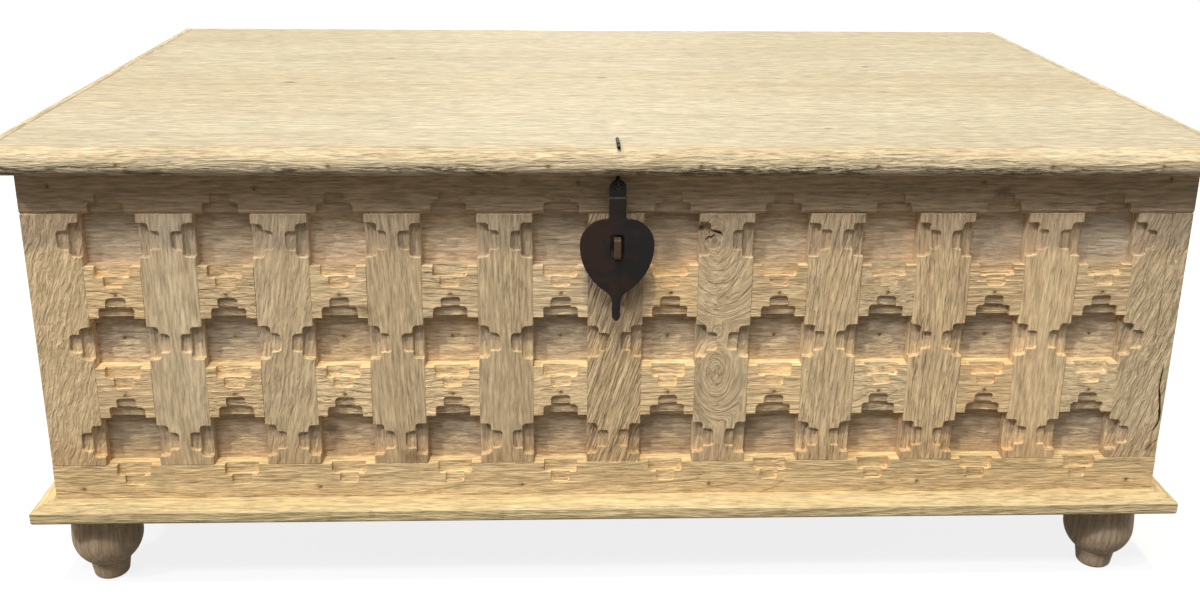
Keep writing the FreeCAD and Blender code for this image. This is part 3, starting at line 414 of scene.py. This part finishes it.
def iron(name, left, right, rust, rust_share, roughness=0.5, bend=None):
    """Forged iron, dark and waxed, with patches of brown rust and small dents."""
    worn_colour = rgb(0.06, 0.048, 0.042)
    dent_depth = 0.0007
    side_slope = 4.0
    t = Tree(bpy.data.materials.new(name))
    here = t.here()
    edge = t.parts(t.attribute("marks"))[1]
    patches = t.noise(here, 55.0, 4.0, 0.6)
    fine = t.noise(here, 420.0, 3.0, 0.6)
    # Two colours, left and right of the middle; on the hasp the redder, lighter left half and darker right
    # half are partly patina and partly painted shade of the fold down its middle
    side = t.plus(patches, side_slope, t.parts(here)[0])
    colour = t.mix(t.span(side, 0.42, 0.58), left, right)
    rusty = t.span(t.plus(t.times(patches, 0.65), 0.35, fine), 0.62 - rust_share, 0.72)
    colour = t.mix(t.times(rusty, 0.8), colour, rust)
    colour = t.mix(t.times(edge, 0.35), colour, worn_colour)
    # Painted shade of the lid above the bend, and a painted highlight line at it
    if bend:
        colour = bend_shade_and_highlight(t, colour, fine, bend)
    rough = t.plus(t.plus(roughness - 0.1, 0.2, fine), 0.25, rusty)
    return t.finish(Base_Color=colour, Roughness=rough, Normal=t.bump(t.plus(patches, 0.3, fine), dent_depth),
                    Specular_IOR_Level=0.16)


# Nails, knots, stains and spots of painted shade, with the numbers in their lists in millimetres
front_spots = [(x / 1000, front, z / 1000) for x, z in (
    (-517.7, 113.6), (-288.9, 113.6), (-90.5, 114.3), (95.9, 113.6), (305.2, 114.0), (517.7, 112.9),
    (-517.7, 420.8), (-330.3, 419.1), (-36.0, 424.2), (342.3, 424.2), (517.7, 426.8))]
column_spots = [(0, y, z / 1000) for y, z in ((front, 213.2), (front, 315.6), (lattice_back, 266.4))]
front_knots = [(x / 1000, y, z / 1000, reach / 1000) for x, y, z, reach in (
    (81, front, 383, 8), (91, front, 366, 6), (-275.5, lattice_back, 168, 9), (-196, front, 146, 12),
    (-236, front, 300, 9), (360, front, 415, 9), (540, front, 150, 9))]
# Spots of painted shade: the dark behind the hasp's slot, and a small dark spot beside a split in the seventh
# strip
staple_shade_spots = [(x / 1000, y, z / 1000, reach / 1000) for x, y, z, reach in (
    (0, front, 367.8, 28), (79.5, carved_step, 379.5, 5))]
strip_swirls = [(x / 1000, z / 1000, reach / 1000, 2 * column) for x, z, reach in (
    (93, 372, 110), (98, 234, 58))]
lid_knots = [(x / 1000, y / 1000, lid_top, reach / 1000) for x, y, reach in (
    (-349.8, -42.3, 8), (-2.4, -9.5, 7), (-256.3, 107.5, 7), (318, 64, 6), (205, -262, 5))]
nosing_spots = [(x / 1000, nosing_face, nosing_nail_height) for x in (
    -442.8, -257.6, -63.3, 73.6, 233.4, 392.1, 494.5)]
plinth_spots = [(x / 1000, plinth_face, z / 1000) for x, z in (
    (-465.9, 93.5), (-276.4, 92.0), (-235.8, 94.0), (-108.5, 91.5), (17.0, 93.0), (168.7, 94.0),
    (307.2, 92.5), (491.5, 93.5))]

# Heights between which the front is browned and the nosing torn, and the height of the hasp's bend, above
# which the hasp's iron carries painted shade of the lid and at which a painted highlight runs
front_grime = (lattice_low, lattice_low + 0.047)
nosing_torn = (nosing_low, nosing_low + 0.0115)
hasp_bend = 0.4165

materials = {
    "carved_wood": wood(
        "carved wood", light=rgb(0.74, 0.57, 0.385), middle=rgb(0.68, 0.51, 0.33),
        dark=rgb(0.52, 0.365, 0.22), streak=rgb(0.49, 0.35, 0.225), contrast=1.0, relief=0.0011,
        spots=front_spots, column_spots=column_spots, knots=front_knots, painted_shade_spots=staple_shade_spots, grime=front_grime,
        swirls=strip_swirls),
    # The lid's paler, bluer colour is partly bleaching and partly painted sheen from the white surroundings
    "lid_wood": wood(
        "lid wood", light=rgb(0.625, 0.55, 0.435), middle=rgb(0.59, 0.505, 0.39),
        dark=rgb(0.495, 0.40, 0.29), streak=rgb(0.495, 0.395, 0.29), contrast=0.9, relief=0.0006,
        ring_spacing=0.009, knots=lid_knots),
    "nosing_wood": wood(
        "nosing wood", light=rgb(0.72, 0.60, 0.445), middle=rgb(0.66, 0.54, 0.385),
        dark=rgb(0.53, 0.405, 0.27), streak=rgb(0.50, 0.38, 0.26), contrast=1.0, relief=0.0012,
        spots=nosing_spots, torn=nosing_torn),
    "plinth_wood": wood(
        "plinth wood", light=rgb(0.70, 0.54, 0.325), middle=rgb(0.65, 0.49, 0.285),
        dark=rgb(0.52, 0.37, 0.21), streak=rgb(0.48, 0.345, 0.21), contrast=0.9, relief=0.0012,
        spots=plinth_spots),
    "panel_wood": wood(
        "panel wood", light=rgb(0.64, 0.49, 0.32), middle=rgb(0.58, 0.435, 0.275),
        dark=rgb(0.46, 0.325, 0.195), streak=rgb(0.42, 0.30, 0.185), contrast=0.9, relief=0.0010,
        ring_spacing=0.008),
    "inner_wood": wood(
        "inner wood", light=rgb(0.57, 0.44, 0.285), middle=rgb(0.50, 0.375, 0.235),
        dark=rgb(0.38, 0.265, 0.155), streak=rgb(0.35, 0.25, 0.155), contrast=0.8, relief=0.0008,
        ring_spacing=0.008),
    "foot_wood": wood(
        "foot wood", light=rgb(0.605, 0.46, 0.325), middle=rgb(0.53, 0.395, 0.27),
        dark=rgb(0.39, 0.275, 0.178), streak=rgb(0.365, 0.26, 0.167), contrast=0.8, relief=0.0006,
        ring_spacing=0.005),
    # The hasp's halves differ partly by patina and partly by painted shade of its fold
    "hasp_iron": iron(
        "hasp iron", left=rgb(0.026, 0.0135, 0.010), right=rgb(0.0115, 0.0095, 0.010),
        rust=rgb(0.042, 0.019, 0.011), rust_share=0.02, bend=hasp_bend),
    "staple_iron": iron(
        "staple iron", left=rgb(0.085, 0.048, 0.033), right=rgb(0.065, 0.040, 0.030),
        rust=rgb(0.12, 0.055, 0.028), rust_share=0.10),
    "hinge_iron": iron(
        "hinge iron", left=rgb(0.035, 0.030, 0.028), right=rgb(0.028, 0.026, 0.026),
        rust=rgb(0.07, 0.04, 0.025), rust_share=0.04),
    "screw_iron": iron(
        "screw iron", left=rgb(0.06, 0.055, 0.05), right=rgb(0.045, 0.042, 0.04),
        rust=rgb(0.10, 0.06, 0.04), rust_share=0.04),
    "nail_iron": iron(
        "nail iron", left=rgb(0.33, 0.22, 0.13), right=rgb(0.27, 0.18, 0.105),
        rust=rgb(0.30, 0.165, 0.085), rust_share=0.10),
    "pin_steel": iron(
        "pin steel", left=rgb(0.20, 0.19, 0.18), right=rgb(0.16, 0.155, 0.15),
        rust=rgb(0.16, 0.10, 0.07), rust_share=0.0, roughness=0.4),
}

# Kinds of faces that are kept apart while a piece is worked on
worn_face = 1
split_face = 2


def read(node):
    """The node's solid as joined flat faces, which can be worked on."""
    weld_distance = 1e-6
    flat_angle = math.radians(0.4)
    bm = bmesh.new()
    bm.from_mesh(nodes[node].data)
    bmesh.ops.remove_doubles(bm, verts=bm.verts, dist=weld_distance)
    bmesh.ops.dissolve_limit(bm, angle_limit=flat_angle, verts=bm.verts, edges=bm.edges)
    return bm


def islands(bm):
    """Number of the separate solid that each face belongs to, and how many there are."""
    bm.faces.ensure_lookup_table()
    found = {}
    count = 0
    for seed in bm.faces:
        if seed in found:
            continue
        found[seed] = count
        queue = [seed]
        while queue:
            face = queue.pop()
            for edge in face.edges:
                for other in edge.link_faces:
                    if other not in found:
                        found[other] = count
                        queue.append(other)
        count += 1
    return found, count


def soften(bm, width):
    """Wears down every sharp outer edge, and marks the faces of the worn edges."""
    sharp_angle = math.radians(28)
    kind = bm.faces.layers.int.get("kind") or bm.faces.layers.int.new("kind")
    sharp = [edge for edge in bm.edges if len(edge.link_faces) == 2 and edge.is_convex
             and edge.calc_face_angle(0.0) > sharp_angle]
    made = bmesh.ops.bevel(bm, geom=sharp, offset=width, offset_type="OFFSET", segments=2, profile=0.6,
                           affect="EDGES", clamp_overlap=True, loop_slide=True)
    for face in made["faces"]:
        face[kind] = worn_face


def split(bm, line, depth):
    """Opens a split along a line of places (x, z, width) in a front piece, and returns the new geometry."""
    overrun = 0.001
    cutter = bmesh.new()
    kind = cutter.faces.layers.int.new("kind")
    levels = []
    for x, z, width in line:
        corners = ((x - width / 2, front - overrun, z), (x + width / 2, front - overrun, z),
                   (x, front + depth, z))
        levels.append([cutter.verts.new(corner) for corner in corners])
    for upper, lower in zip(levels, levels[1:]):
        for first, second in ((0, 1), (1, 2), (2, 0)):
            cutter.faces.new((upper[first], upper[second], lower[second], lower[first]))
    cutter.faces.new(levels[0])
    cutter.faces.new(levels[-1])
    for face in cutter.faces:
        face[kind] = split_face
    bmesh.ops.recalc_face_normals(cutter, faces=cutter.faces)
    holders = []
    for shape in (bm, cutter):
        mesh = bpy.data.meshes.new("split")
        shape.to_mesh(mesh)
        shape.free()
        holder = bpy.data.objects.new("split", mesh)
        bpy.context.scene.collection.objects.link(holder)
        holders.append(holder)
    opened = holders[0].modifiers.new("split", "BOOLEAN")
    opened.operation = "DIFFERENCE"
    opened.solver = "EXACT"
    opened.object = holders[1]
    bpy.context.view_layer.update()
    result = bmesh.new()
    result.from_object(holders[0], bpy.context.evaluated_depsgraph_get())
    for holder in holders:
        bpy.data.objects.remove(holder)
    return result


# How a piece's grain grew: the relief of its brushed face, its curl, its streaks and its slant in degrees
Trait = namedtuple("Trait", "relief curl streaks slant")


def by_chance(*limits):
    """A function that draws each trait of a piece between two limits."""
    return lambda part: Trait(*(rng.uniform(low, high) for low, high in limits))


any_trait = by_chance((0.7, 1.2), (0.0, 0.5), (0.1, 0.5), (-2.0, 2.0))
block_trait = by_chance((0.6, 1.2), (0.0, 0.5), (0.1, 0.5), (-13.0, 13.0))
floor_trait = by_chance((0.4, 0.7), (0.0, 0.4), (0.1, 0.4), (-10.0, 10.0))
nosing_trait = Trait(1.4, 0.25, 0.4, 0.4)

# Traits of the upright strips, from left to right
stile_traits = [
    Trait(0.9, 0.85, 0.10, 16), Trait(0.9, 0.15, 0.25, 0), Trait(0.9, 0.50, 0.20, 10),
    Trait(0.8, 0.15, 0.35, -3), Trait(0.9, 0.10, 0.80, 0), Trait(2.2, 0.15, 0.20, 17),
    Trait(0.9, 0.35, 0.15, 3), Trait(1.2, 0.40, 0.30, 4), Trait(1.6, 0.10, 1.00, 0),
    Trait(0.8, 0.15, 0.20, 0), Trait(1.1, 0.85, 0.30, 14)]

# How far along the trunk and from the pith a part is cut, and how near when its grain is very curly
trunk_reach = 9
pith_reaches = (0.03, 0.11)
curly_pith_reach = 0.018
strong_curl = 0.8

# Tints of single pieces of the front; painted light that lifts and cools the floors of the top row, which lie
# in the lid's shadow; and painted shade that darkens and greys the other recess floors
plain_tint = (1, 1, 1)
# The top rail's tint darkens it as painted shade of the lid above it
front_tints_and_shade = {"front_bottom_rail": (1.14, 1.10, 0.98), "front_top_rail": (0.87, 0.85, 0.86),
               "lattice_blocks_1": (1.17, 1.15, 1.10), "lattice_blocks_2": (1.10, 1.07, 1.02)}
high_floor_painted_light = (1.04, 1.08, 1.15)
low_floor_painted_shade = (0.90, 0.925, 0.97)

# How far the tints of parts differ by chance
carved_spread = 0.07
floor_spread = 0.08
plain_spread = 0.05
board_spread = 0.02

# Widths of worn edges, and how dark the joints between boards and between nosings are
lattice_wear = 0.0011
board_wear = 0.0004
nosing_wear = 0.0006
moulding_wear = 0.0008
panel_wear = 0.0012
rough_wear = 0.002
iron_wear = 0.0006
small_iron_wear = 0.0003
board_seam = 0.3
nosing_seam = 0.4

Look = namedtuple("Look", "centre run slant pith tint trait")


def draw_looks(parts, count, spread, traits, tint_of):
    """Draws for each part where it sits in its tree, its tint and its traits."""
    blue_loss = 1.5
    centres = [Vector() for _ in range(count)]
    totals = [0] * count
    for face, part in parts.items():
        centres[part] += face.calc_center_median()
        totals[part] += 1
    looks = []
    for part in range(count):
        turn = rng.uniform(0, 2 * math.pi)
        reach = rng.uniform(*pith_reaches)
        value = 1.0 + rng.uniform(-spread, spread)
        warm = rng.uniform(-spread, spread) / 2
        trait = traits(part)
        run = rng.uniform(-trunk_reach, trunk_reach)
        if trait.curl > strong_curl:
            reach = curly_pith_reach
        red, green, blue = tint_of(part)
        tint = (value * (1 + warm) * red, value * green, value * (1 - blue_loss * warm) * blue, 1.0)
        looks.append(Look(centres[part] / max(totals[part], 1), run, math.radians(trait.slant),
                          (reach * math.cos(turn), reach * math.sin(turn)), tint, trait[:3]))
    return looks


def paint(bm, axis, parts, count, spread=carved_spread, traits=any_trait, tint_of=lambda part: plain_tint,
          chiselled=lambda face: 0.0, seam=0.0):
    """Gives each corner of each face its place in the grain, its tint, its traits and its marks."""
    grain = bm.loops.layers.float_vector.new("wood")
    tint = bm.loops.layers.float_color.new("tint")
    trait = bm.loops.layers.float_vector.new("trait")
    marks = bm.loops.layers.float_vector.new("marks")
    kind = bm.faces.layers.int.get("kind")
    order = {"X": (0, 1, 2), "Y": (1, 0, 2), "Z": (2, 0, 1)}[axis]
    looks = draw_looks(parts, count, spread, traits, tint_of)
    for face, part in parts.items():
        look = looks[part]
        worn = bool(kind) and face[kind] == worn_face
        opened = bool(kind) and face[kind] == split_face
        edge = 1.0 if worn and not seam else 0.0
        inside = 1.0 if opened else seam if worn else 0.0
        mark = (chiselled(face), edge, inside)
        for loop in face.loops:
            spot = loop.vert.co - look.centre
            length, side, depth = (spot[index] for index in order)
            along = length * math.cos(look.slant) + side * math.sin(look.slant)
            across = side * math.cos(look.slant) - length * math.sin(look.slant)
            loop[grain] = (along + look.run, across + look.pith[0], depth + look.pith[1])
            loop[tint] = look.tint
            loop[trait] = look.trait
            loop[marks] = mark


def show(bm, name, node, material, angle=35):
    """Turns worked geometry into a piece that stands for its CAD node and moves with it."""
    mesh = bpy.data.meshes.new(name)
    bm.to_mesh(mesh)
    bm.free()
    mesh.materials.append(material)
    mesh.polygons.foreach_set("use_smooth", [True] * len(mesh.polygons))
    mesh.set_sharp_from_angle(angle=math.radians(angle))
    piece = bpy.data.objects.new(name, mesh)
    bpy.context.scene.collection.objects.link(piece)
    weighted = piece.modifiers.new("normals", "WEIGHTED_NORMAL")
    weighted.keep_sharp = True
    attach(piece, body_of[node])
    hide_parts(node)


def field(x, z, scale, seed):
    """Smooth noise over the front, from -1 to 1."""
    return noise.noise(Vector((x * scale, z * scale, seed)))


def on_line(share):
    """Whether a share of columns or rows lies on a line between two of them."""
    return abs(share - round(share)) < 0.02


def cut_by_hand(bm):
    """Lets the carving of a lattice piece wander a little, as a chisel does, and sinks its face by a hair."""
    margin = 0.0005
    joint_wander = 0.0002
    edge_wander = 0.0014
    floor_wander = 0.0016
    sink = rng.uniform(0.0, 0.0005)
    for vert in bm.verts:
        x, y, z = vert.co
        if y > lattice_back - margin:
            continue
        beside = on_line(x / column + 0.5)
        level = on_line((z - lattice_low) / row)
        vert.co.x += (joint_wander if beside else edge_wander) * field(x, z, scale=55, seed=1.7)
        vert.co.z += (joint_wander if level else edge_wander) * field(x, z, scale=55, seed=8.3)
        vert.co.y += sink if y < front + margin else floor_wander * field(x, z, scale=40, seed=4.4)


def faces_front(face):
    """1 on a face that looks to the front."""
    return 1.0 if face.normal.y < -0.8 else 0.0


def carved_floor(face):
    """1 on the floor of a carved step."""
    step_depth = 0.0015
    return faces_front(face) if face.calc_center_median().y > front + step_depth else 0.0


# Splits in the wood, each as a line of places (x, z, width) and a depth
splits = {
    "front_stile_07": [
        ([(0.0838, 0.3660, 0.0010), (0.0868, 0.3690, 0.0050), (0.0895, 0.3712, 0.0044),
          (0.0925, 0.3738, 0.0010)], 0.014),
        ([(0.0875, 0.3775, 0.0010), (0.0915, 0.3766, 0.0060), (0.0955, 0.3755, 0.0060),
          (0.0997, 0.3730, 0.0010)], 0.012)],
    "front_stile_11": [
        ([(0.5388, 0.2400, 0.0006), (0.5380, 0.2280, 0.0018), (0.5376, 0.2160, 0.0014),
          (0.5394, 0.2060, 0.0028), (0.5410, 0.1960, 0.0020), (0.5419, 0.1880, 0.0030),
          (0.5424, 0.1800, 0.0016), (0.5408, 0.1740, 0.0024), (0.5380, 0.1690, 0.0016),
          (0.5327, 0.1660, 0.0006)], 0.009),
        ([(0.5252, 0.3950, 0.0006), (0.5262, 0.3000, 0.0006), (0.5256, 0.2450, 0.0004)], 0.002),
        ([(0.5462, 0.1600, 0.0012), (0.5425, 0.1570, 0.0018), (0.5390, 0.1530, 0.0008),
          (0.5350, 0.1490, 0.0014), (0.5310, 0.1445, 0.0005)], 0.005)]}


def grain_axis(node):
    """The axis along which the grain of a wooden piece runs."""
    if node.startswith("front_stile") or node.endswith(("foot", "post")):
        return "Z"
    at_end = "left" in node or "right" in node
    return "Y" if at_end and node.endswith(("panel", "plinth", "nosing", "batten")) else "X"


def lattice_traits(node):
    """The function that gives the traits of a lattice piece's parts."""
    if node.startswith("front_stile"):
        return lambda part: stile_traits[int(node[-2:]) - 1]
    return block_trait if node.startswith("lattice_blocks") else any_trait


def dress_lattice(node):
    """A strip, a rail or a row of blocks of the carved front."""
    bm = read(node)
    cut_by_hand(bm)
    soften(bm, lattice_wear)
    for line, depth in splits.get(node, ()):
        bm = split(bm, line, depth)
    parts, count = islands(bm)
    # The top rail's tint is painted shade of the lid above it
    paint(bm, grain_axis(node), parts, count, carved_spread, lattice_traits(node),
          lambda part: front_tints_and_shade.get(node, plain_tint), carved_floor)
    show(bm, node + "_wood", node, materials["carved_wood"])


def dress_plain(node, material, wear, spread=plain_spread, traits=any_trait, seam=0.0):
    """A wooden piece with no carving."""
    bm = read(node)
    soften(bm, wear)
    parts, count = islands(bm)
    paint(bm, grain_axis(node), parts, count, spread, traits, seam=seam)
    show(bm, node + "_wood", node, materials[material])


def cut_across(bm, place, normal):
    """Divides every face that a plane crosses."""
    geometry = bm.verts[:] + bm.edges[:] + bm.faces[:]
    bmesh.ops.bisect_plane(bm, geom=geometry, plane_co=place, plane_no=normal)


def dress_backing(node):
    """The panel behind the lattice, with a grain of its own in the floor of each recess, painted light on the
    floors of the top row and painted shade on the other floors.
    """
    bm = read(node)
    for index in range(column_count + 1):
        cut_across(bm, ((index - column_count / 2) * column, 0, 0), (1, 0, 0))
    for index in range(row_count + 1):
        cut_across(bm, (0, 0, lattice_low + index * row), (0, 0, 1))
    cells = {}
    parts = {}
    for face in bm.faces:
        centre = face.calc_center_median()
        cell = (math.floor(centre.x / column + column_count / 2), math.floor((centre.z - lattice_low) / row))
        if not faces_front(face):
            cell = (None, None)
        parts[face] = cells.setdefault(cell, len(cells))
    # The floors of the top row get painted light, the other floors painted shade
    high = [part for (_, level), part in cells.items() if level == row_count - 1]
    paint(bm, "X", parts, len(cells), floor_spread, floor_trait,
          lambda part: high_floor_painted_light if part in high else low_floor_painted_shade, faces_front)
    show(bm, node + "_wood", node, materials["carved_wood"])


def dress_iron(node, material, wear):
    """A nail, screw, pin, staple or hinge leaf."""
    bm = read(node)
    soften(bm, wear)
    parts, count = islands(bm)
    paint(bm, "Z", parts, count)
    show(bm, node + "_iron", node, materials[material])


def remeshed(node, voxel, passes):
    """The node's solid as an even, smoothed net of small faces."""
    source = nodes[node].copy()
    source.data = nodes[node].data.copy()
    bpy.context.scene.collection.objects.link(source)
    grid = source.modifiers.new("grid", "REMESH")
    grid.mode = "VOXEL"
    grid.voxel_size = voxel
    bpy.context.view_layer.update()
    bm = bmesh.new()
    bm.from_object(source, bpy.context.evaluated_depsgraph_get())
    bpy.data.objects.remove(source)
    for _ in range(passes):
        bmesh.ops.smooth_vert(bm, verts=bm.verts, factor=0.5, use_axis_x=True, use_axis_y=True,
                              use_axis_z=True)
    return bm


def dress_hasp(node):
    """The hasp's leaf, forged with a low ridge down its middle and rounded edges."""
    level_height = 0.001
    ridge = 0.0026
    dents = 0.00025
    least_reach = 0.004
    plain_top = 0.03
    bm = remeshed(node, voxel=0.0007, passes=3)
    widths = {}
    for vert in bm.verts:
        level = round(vert.co.z / level_height)
        widths[level] = max(widths.get(level, 0.0), abs(vert.co.x))
    top = max(vert.co.z for vert in bm.verts)
    for vert in bm.verts:
        x, _, z = vert.co
        level = round(z / level_height)
        reach = min(widths[near] for near in (level - 1, level, level + 1) if near in widths)
        below_top = min(1.0, max(0.0, (top - z - plain_top) / plain_top))
        share = max(0.0, 1.0 - abs(x) / max(reach, least_reach)) * below_top
        vert.co.y += dents * field(x, z, scale=90, seed=2.2) - ridge * share
    parts, count = islands(bm)
    paint(bm, "Z", parts, count)
    show(bm, node + "_iron", node, materials["hasp_iron"], angle=60)


# Each node in turn, in one order, so that the draws stay the same
for node in sorted(nodes):
    slot = slot_of[node]
    if node == "hasp":
        dress_hasp(node)
    elif node == "front_backing_panel":
        dress_backing(node)
    elif slot == "carved_wood":
        dress_lattice(node)
    elif node.endswith("nosing"):
        dress_plain(node, "nosing_wood", nosing_wear, traits=lambda part: nosing_trait, seam=nosing_seam)
    elif slot == "lid_wood":
        dress_plain(node, slot, board_wear, board_spread, seam=board_seam)
    elif slot in ("plinth_wood", "foot_wood"):
        dress_plain(node, slot, moulding_wear)
    elif node.endswith(("batten", "post")):
        dress_plain(node, slot, rough_wear)
    elif slot in ("panel_wood", "inner_wood"):
        dress_plain(node, slot, panel_wear)
    elif slot in ("nail_iron", "screw_iron", "hinge_iron", "pin_steel"):
        dress_iron(node, slot, small_iron_wear)
    else:
        dress_iron(node, slot, iron_wear)

# A pale floor that the camera sees as nearly white, but that sends little light back up
floor_reach = 9
floor_glow = 0.83
floor_mesh = bpy.data.meshes.new("floor")
floor_corners = [(x * floor_reach, y * floor_reach, 0) for x, y in ((-1, -1), (1, -1), (1, 1), (-1, 1))]
floor_mesh.from_pydata(floor_corners, [], [(0, 1, 2, 3)])
floor = bpy.data.objects.new("floor", floor_mesh)
bpy.context.scene.collection.objects.link(floor)
t = Tree(bpy.data.materials.new("floor"))
seen = t.seen()
floor_colour = t.mix(seen, rgb(0.10, 0.097, 0.093), rgb(0.20, 0.20, 0.215))
floor_mesh.materials.append(t.finish(
    Base_Color=floor_colour, Roughness=0.9, Specular_IOR_Level=0.0,
    Emission_Color=rgb(1.0, 1.0, 1.0), Emission_Strength=t.times(seen, floor_glow)))

# A white world that lights less than it shows
sky_light = 0.21
t = Tree(bpy.data.worlds.new("studio"), "Background")
sky_strength = t.span(t.seen(), 0.0, 1.0, sky_light, 1.0)
bpy.context.scene.world = t.finish(Color=rgb(1.0, 1.0, 1.0), Strength=sky_strength)


def add_light(name, kind, place, aim, energy, colour):
    """A lamp at a place that shines at a point."""
    lamp = bpy.data.lights.new(name, kind)
    lamp.energy = energy
    lamp.color = colour
    holder = bpy.data.objects.new(name, lamp)
    holder.location = place
    holder.rotation_mode = "QUATERNION"
    holder.rotation_quaternion = (Vector(place) - Vector(aim)).to_track_quat("Z", "Y")
    holder.visible_camera = False
    bpy.context.scene.collection.objects.link(holder)
    return lamp


def toward(turn, rise):
    """A place far off, by the angle to the right of the front and the angle above the floor."""
    distance = 4
    turn, rise = math.radians(turn), math.radians(rise)
    flat = math.cos(rise)
    return Vector((math.sin(turn) * flat, -math.cos(turn) * flat, math.sin(rise))) * distance


# Lamps where the photograph's shadows put them: one to the left, a warm one high up, and one between them
for name, turn, rise, energy, colour, angle in (
        ("left key", -57, 42, 1.04, (1.0, 1.0, 0.98), 3.0),
        ("high key", -12, 70, 1.75, (1.0, 0.94, 0.55), 2.5),
        ("front key", -18, 55, 0.54, (1.0, 0.98, 0.94), 4.0)):
    add_light(name, "SUN", toward(turn, rise), (0, 0, 0), energy, colour).angle = math.radians(angle)

# Even light from above, and weak lamps for the sides and the back
soft = add_light("softbox", "AREA", (-0.4, -1.9, 3.0), (0, -0.2, 0.3), 36, (0.97, 0.985, 1.0))
soft.shape = "RECTANGLE"
soft.size = 2.6
soft.size_y = 1.6
for name, place, energy in (
        ("left fill", (-3.2, 0.9, 0.56), 26),
        ("right fill", (3.2, 0.9, 0.56), 26),
        ("back fill", (0.0, 3.4, 0.56), 34)):
    fill = add_light(name, "AREA", place, (0, 0.2, 0.35), energy, (1.0, 0.98, 0.95))
    fill.size = 1.0

# Camera at the photograph's place, with its focal length in pixels of the photograph
photo_width = 1200
focal = 1273.50
sensor_width = 36
camera_place = (-0.0599, -1.4464, 0.7396)
yaw, pitch, roll = (math.radians(angle) for angle in (2.267, 17.691, -0.622))
ahead = Vector((math.sin(yaw) * math.cos(pitch), math.cos(yaw) * math.cos(pitch), -math.sin(pitch)))
level_right = Vector((math.cos(yaw), -math.sin(yaw), 0))
level_down = ahead.cross(level_right)
right = level_right * math.cos(roll) + level_down * math.sin(roll)
down = level_down * math.cos(roll) - level_right * math.sin(roll)
turned = Matrix((right, -down, -ahead)).transposed()
camera_data = bpy.data.cameras.new("camera")
camera_data.sensor_width = sensor_width
camera_data.lens = focal / photo_width * sensor_width
camera_data.shift_y = -0.064
camera_data.clip_start = 0.05
camera_data.clip_end = 50
camera = bpy.data.objects.new("camera", camera_data)
camera.matrix_world = Matrix.Translation(camera_place) @ turned.to_4x4()
bpy.context.scene.collection.objects.link(camera)
bpy.context.scene.camera = camera

bpy.context.scene.view_settings.view_transform = "Standard"
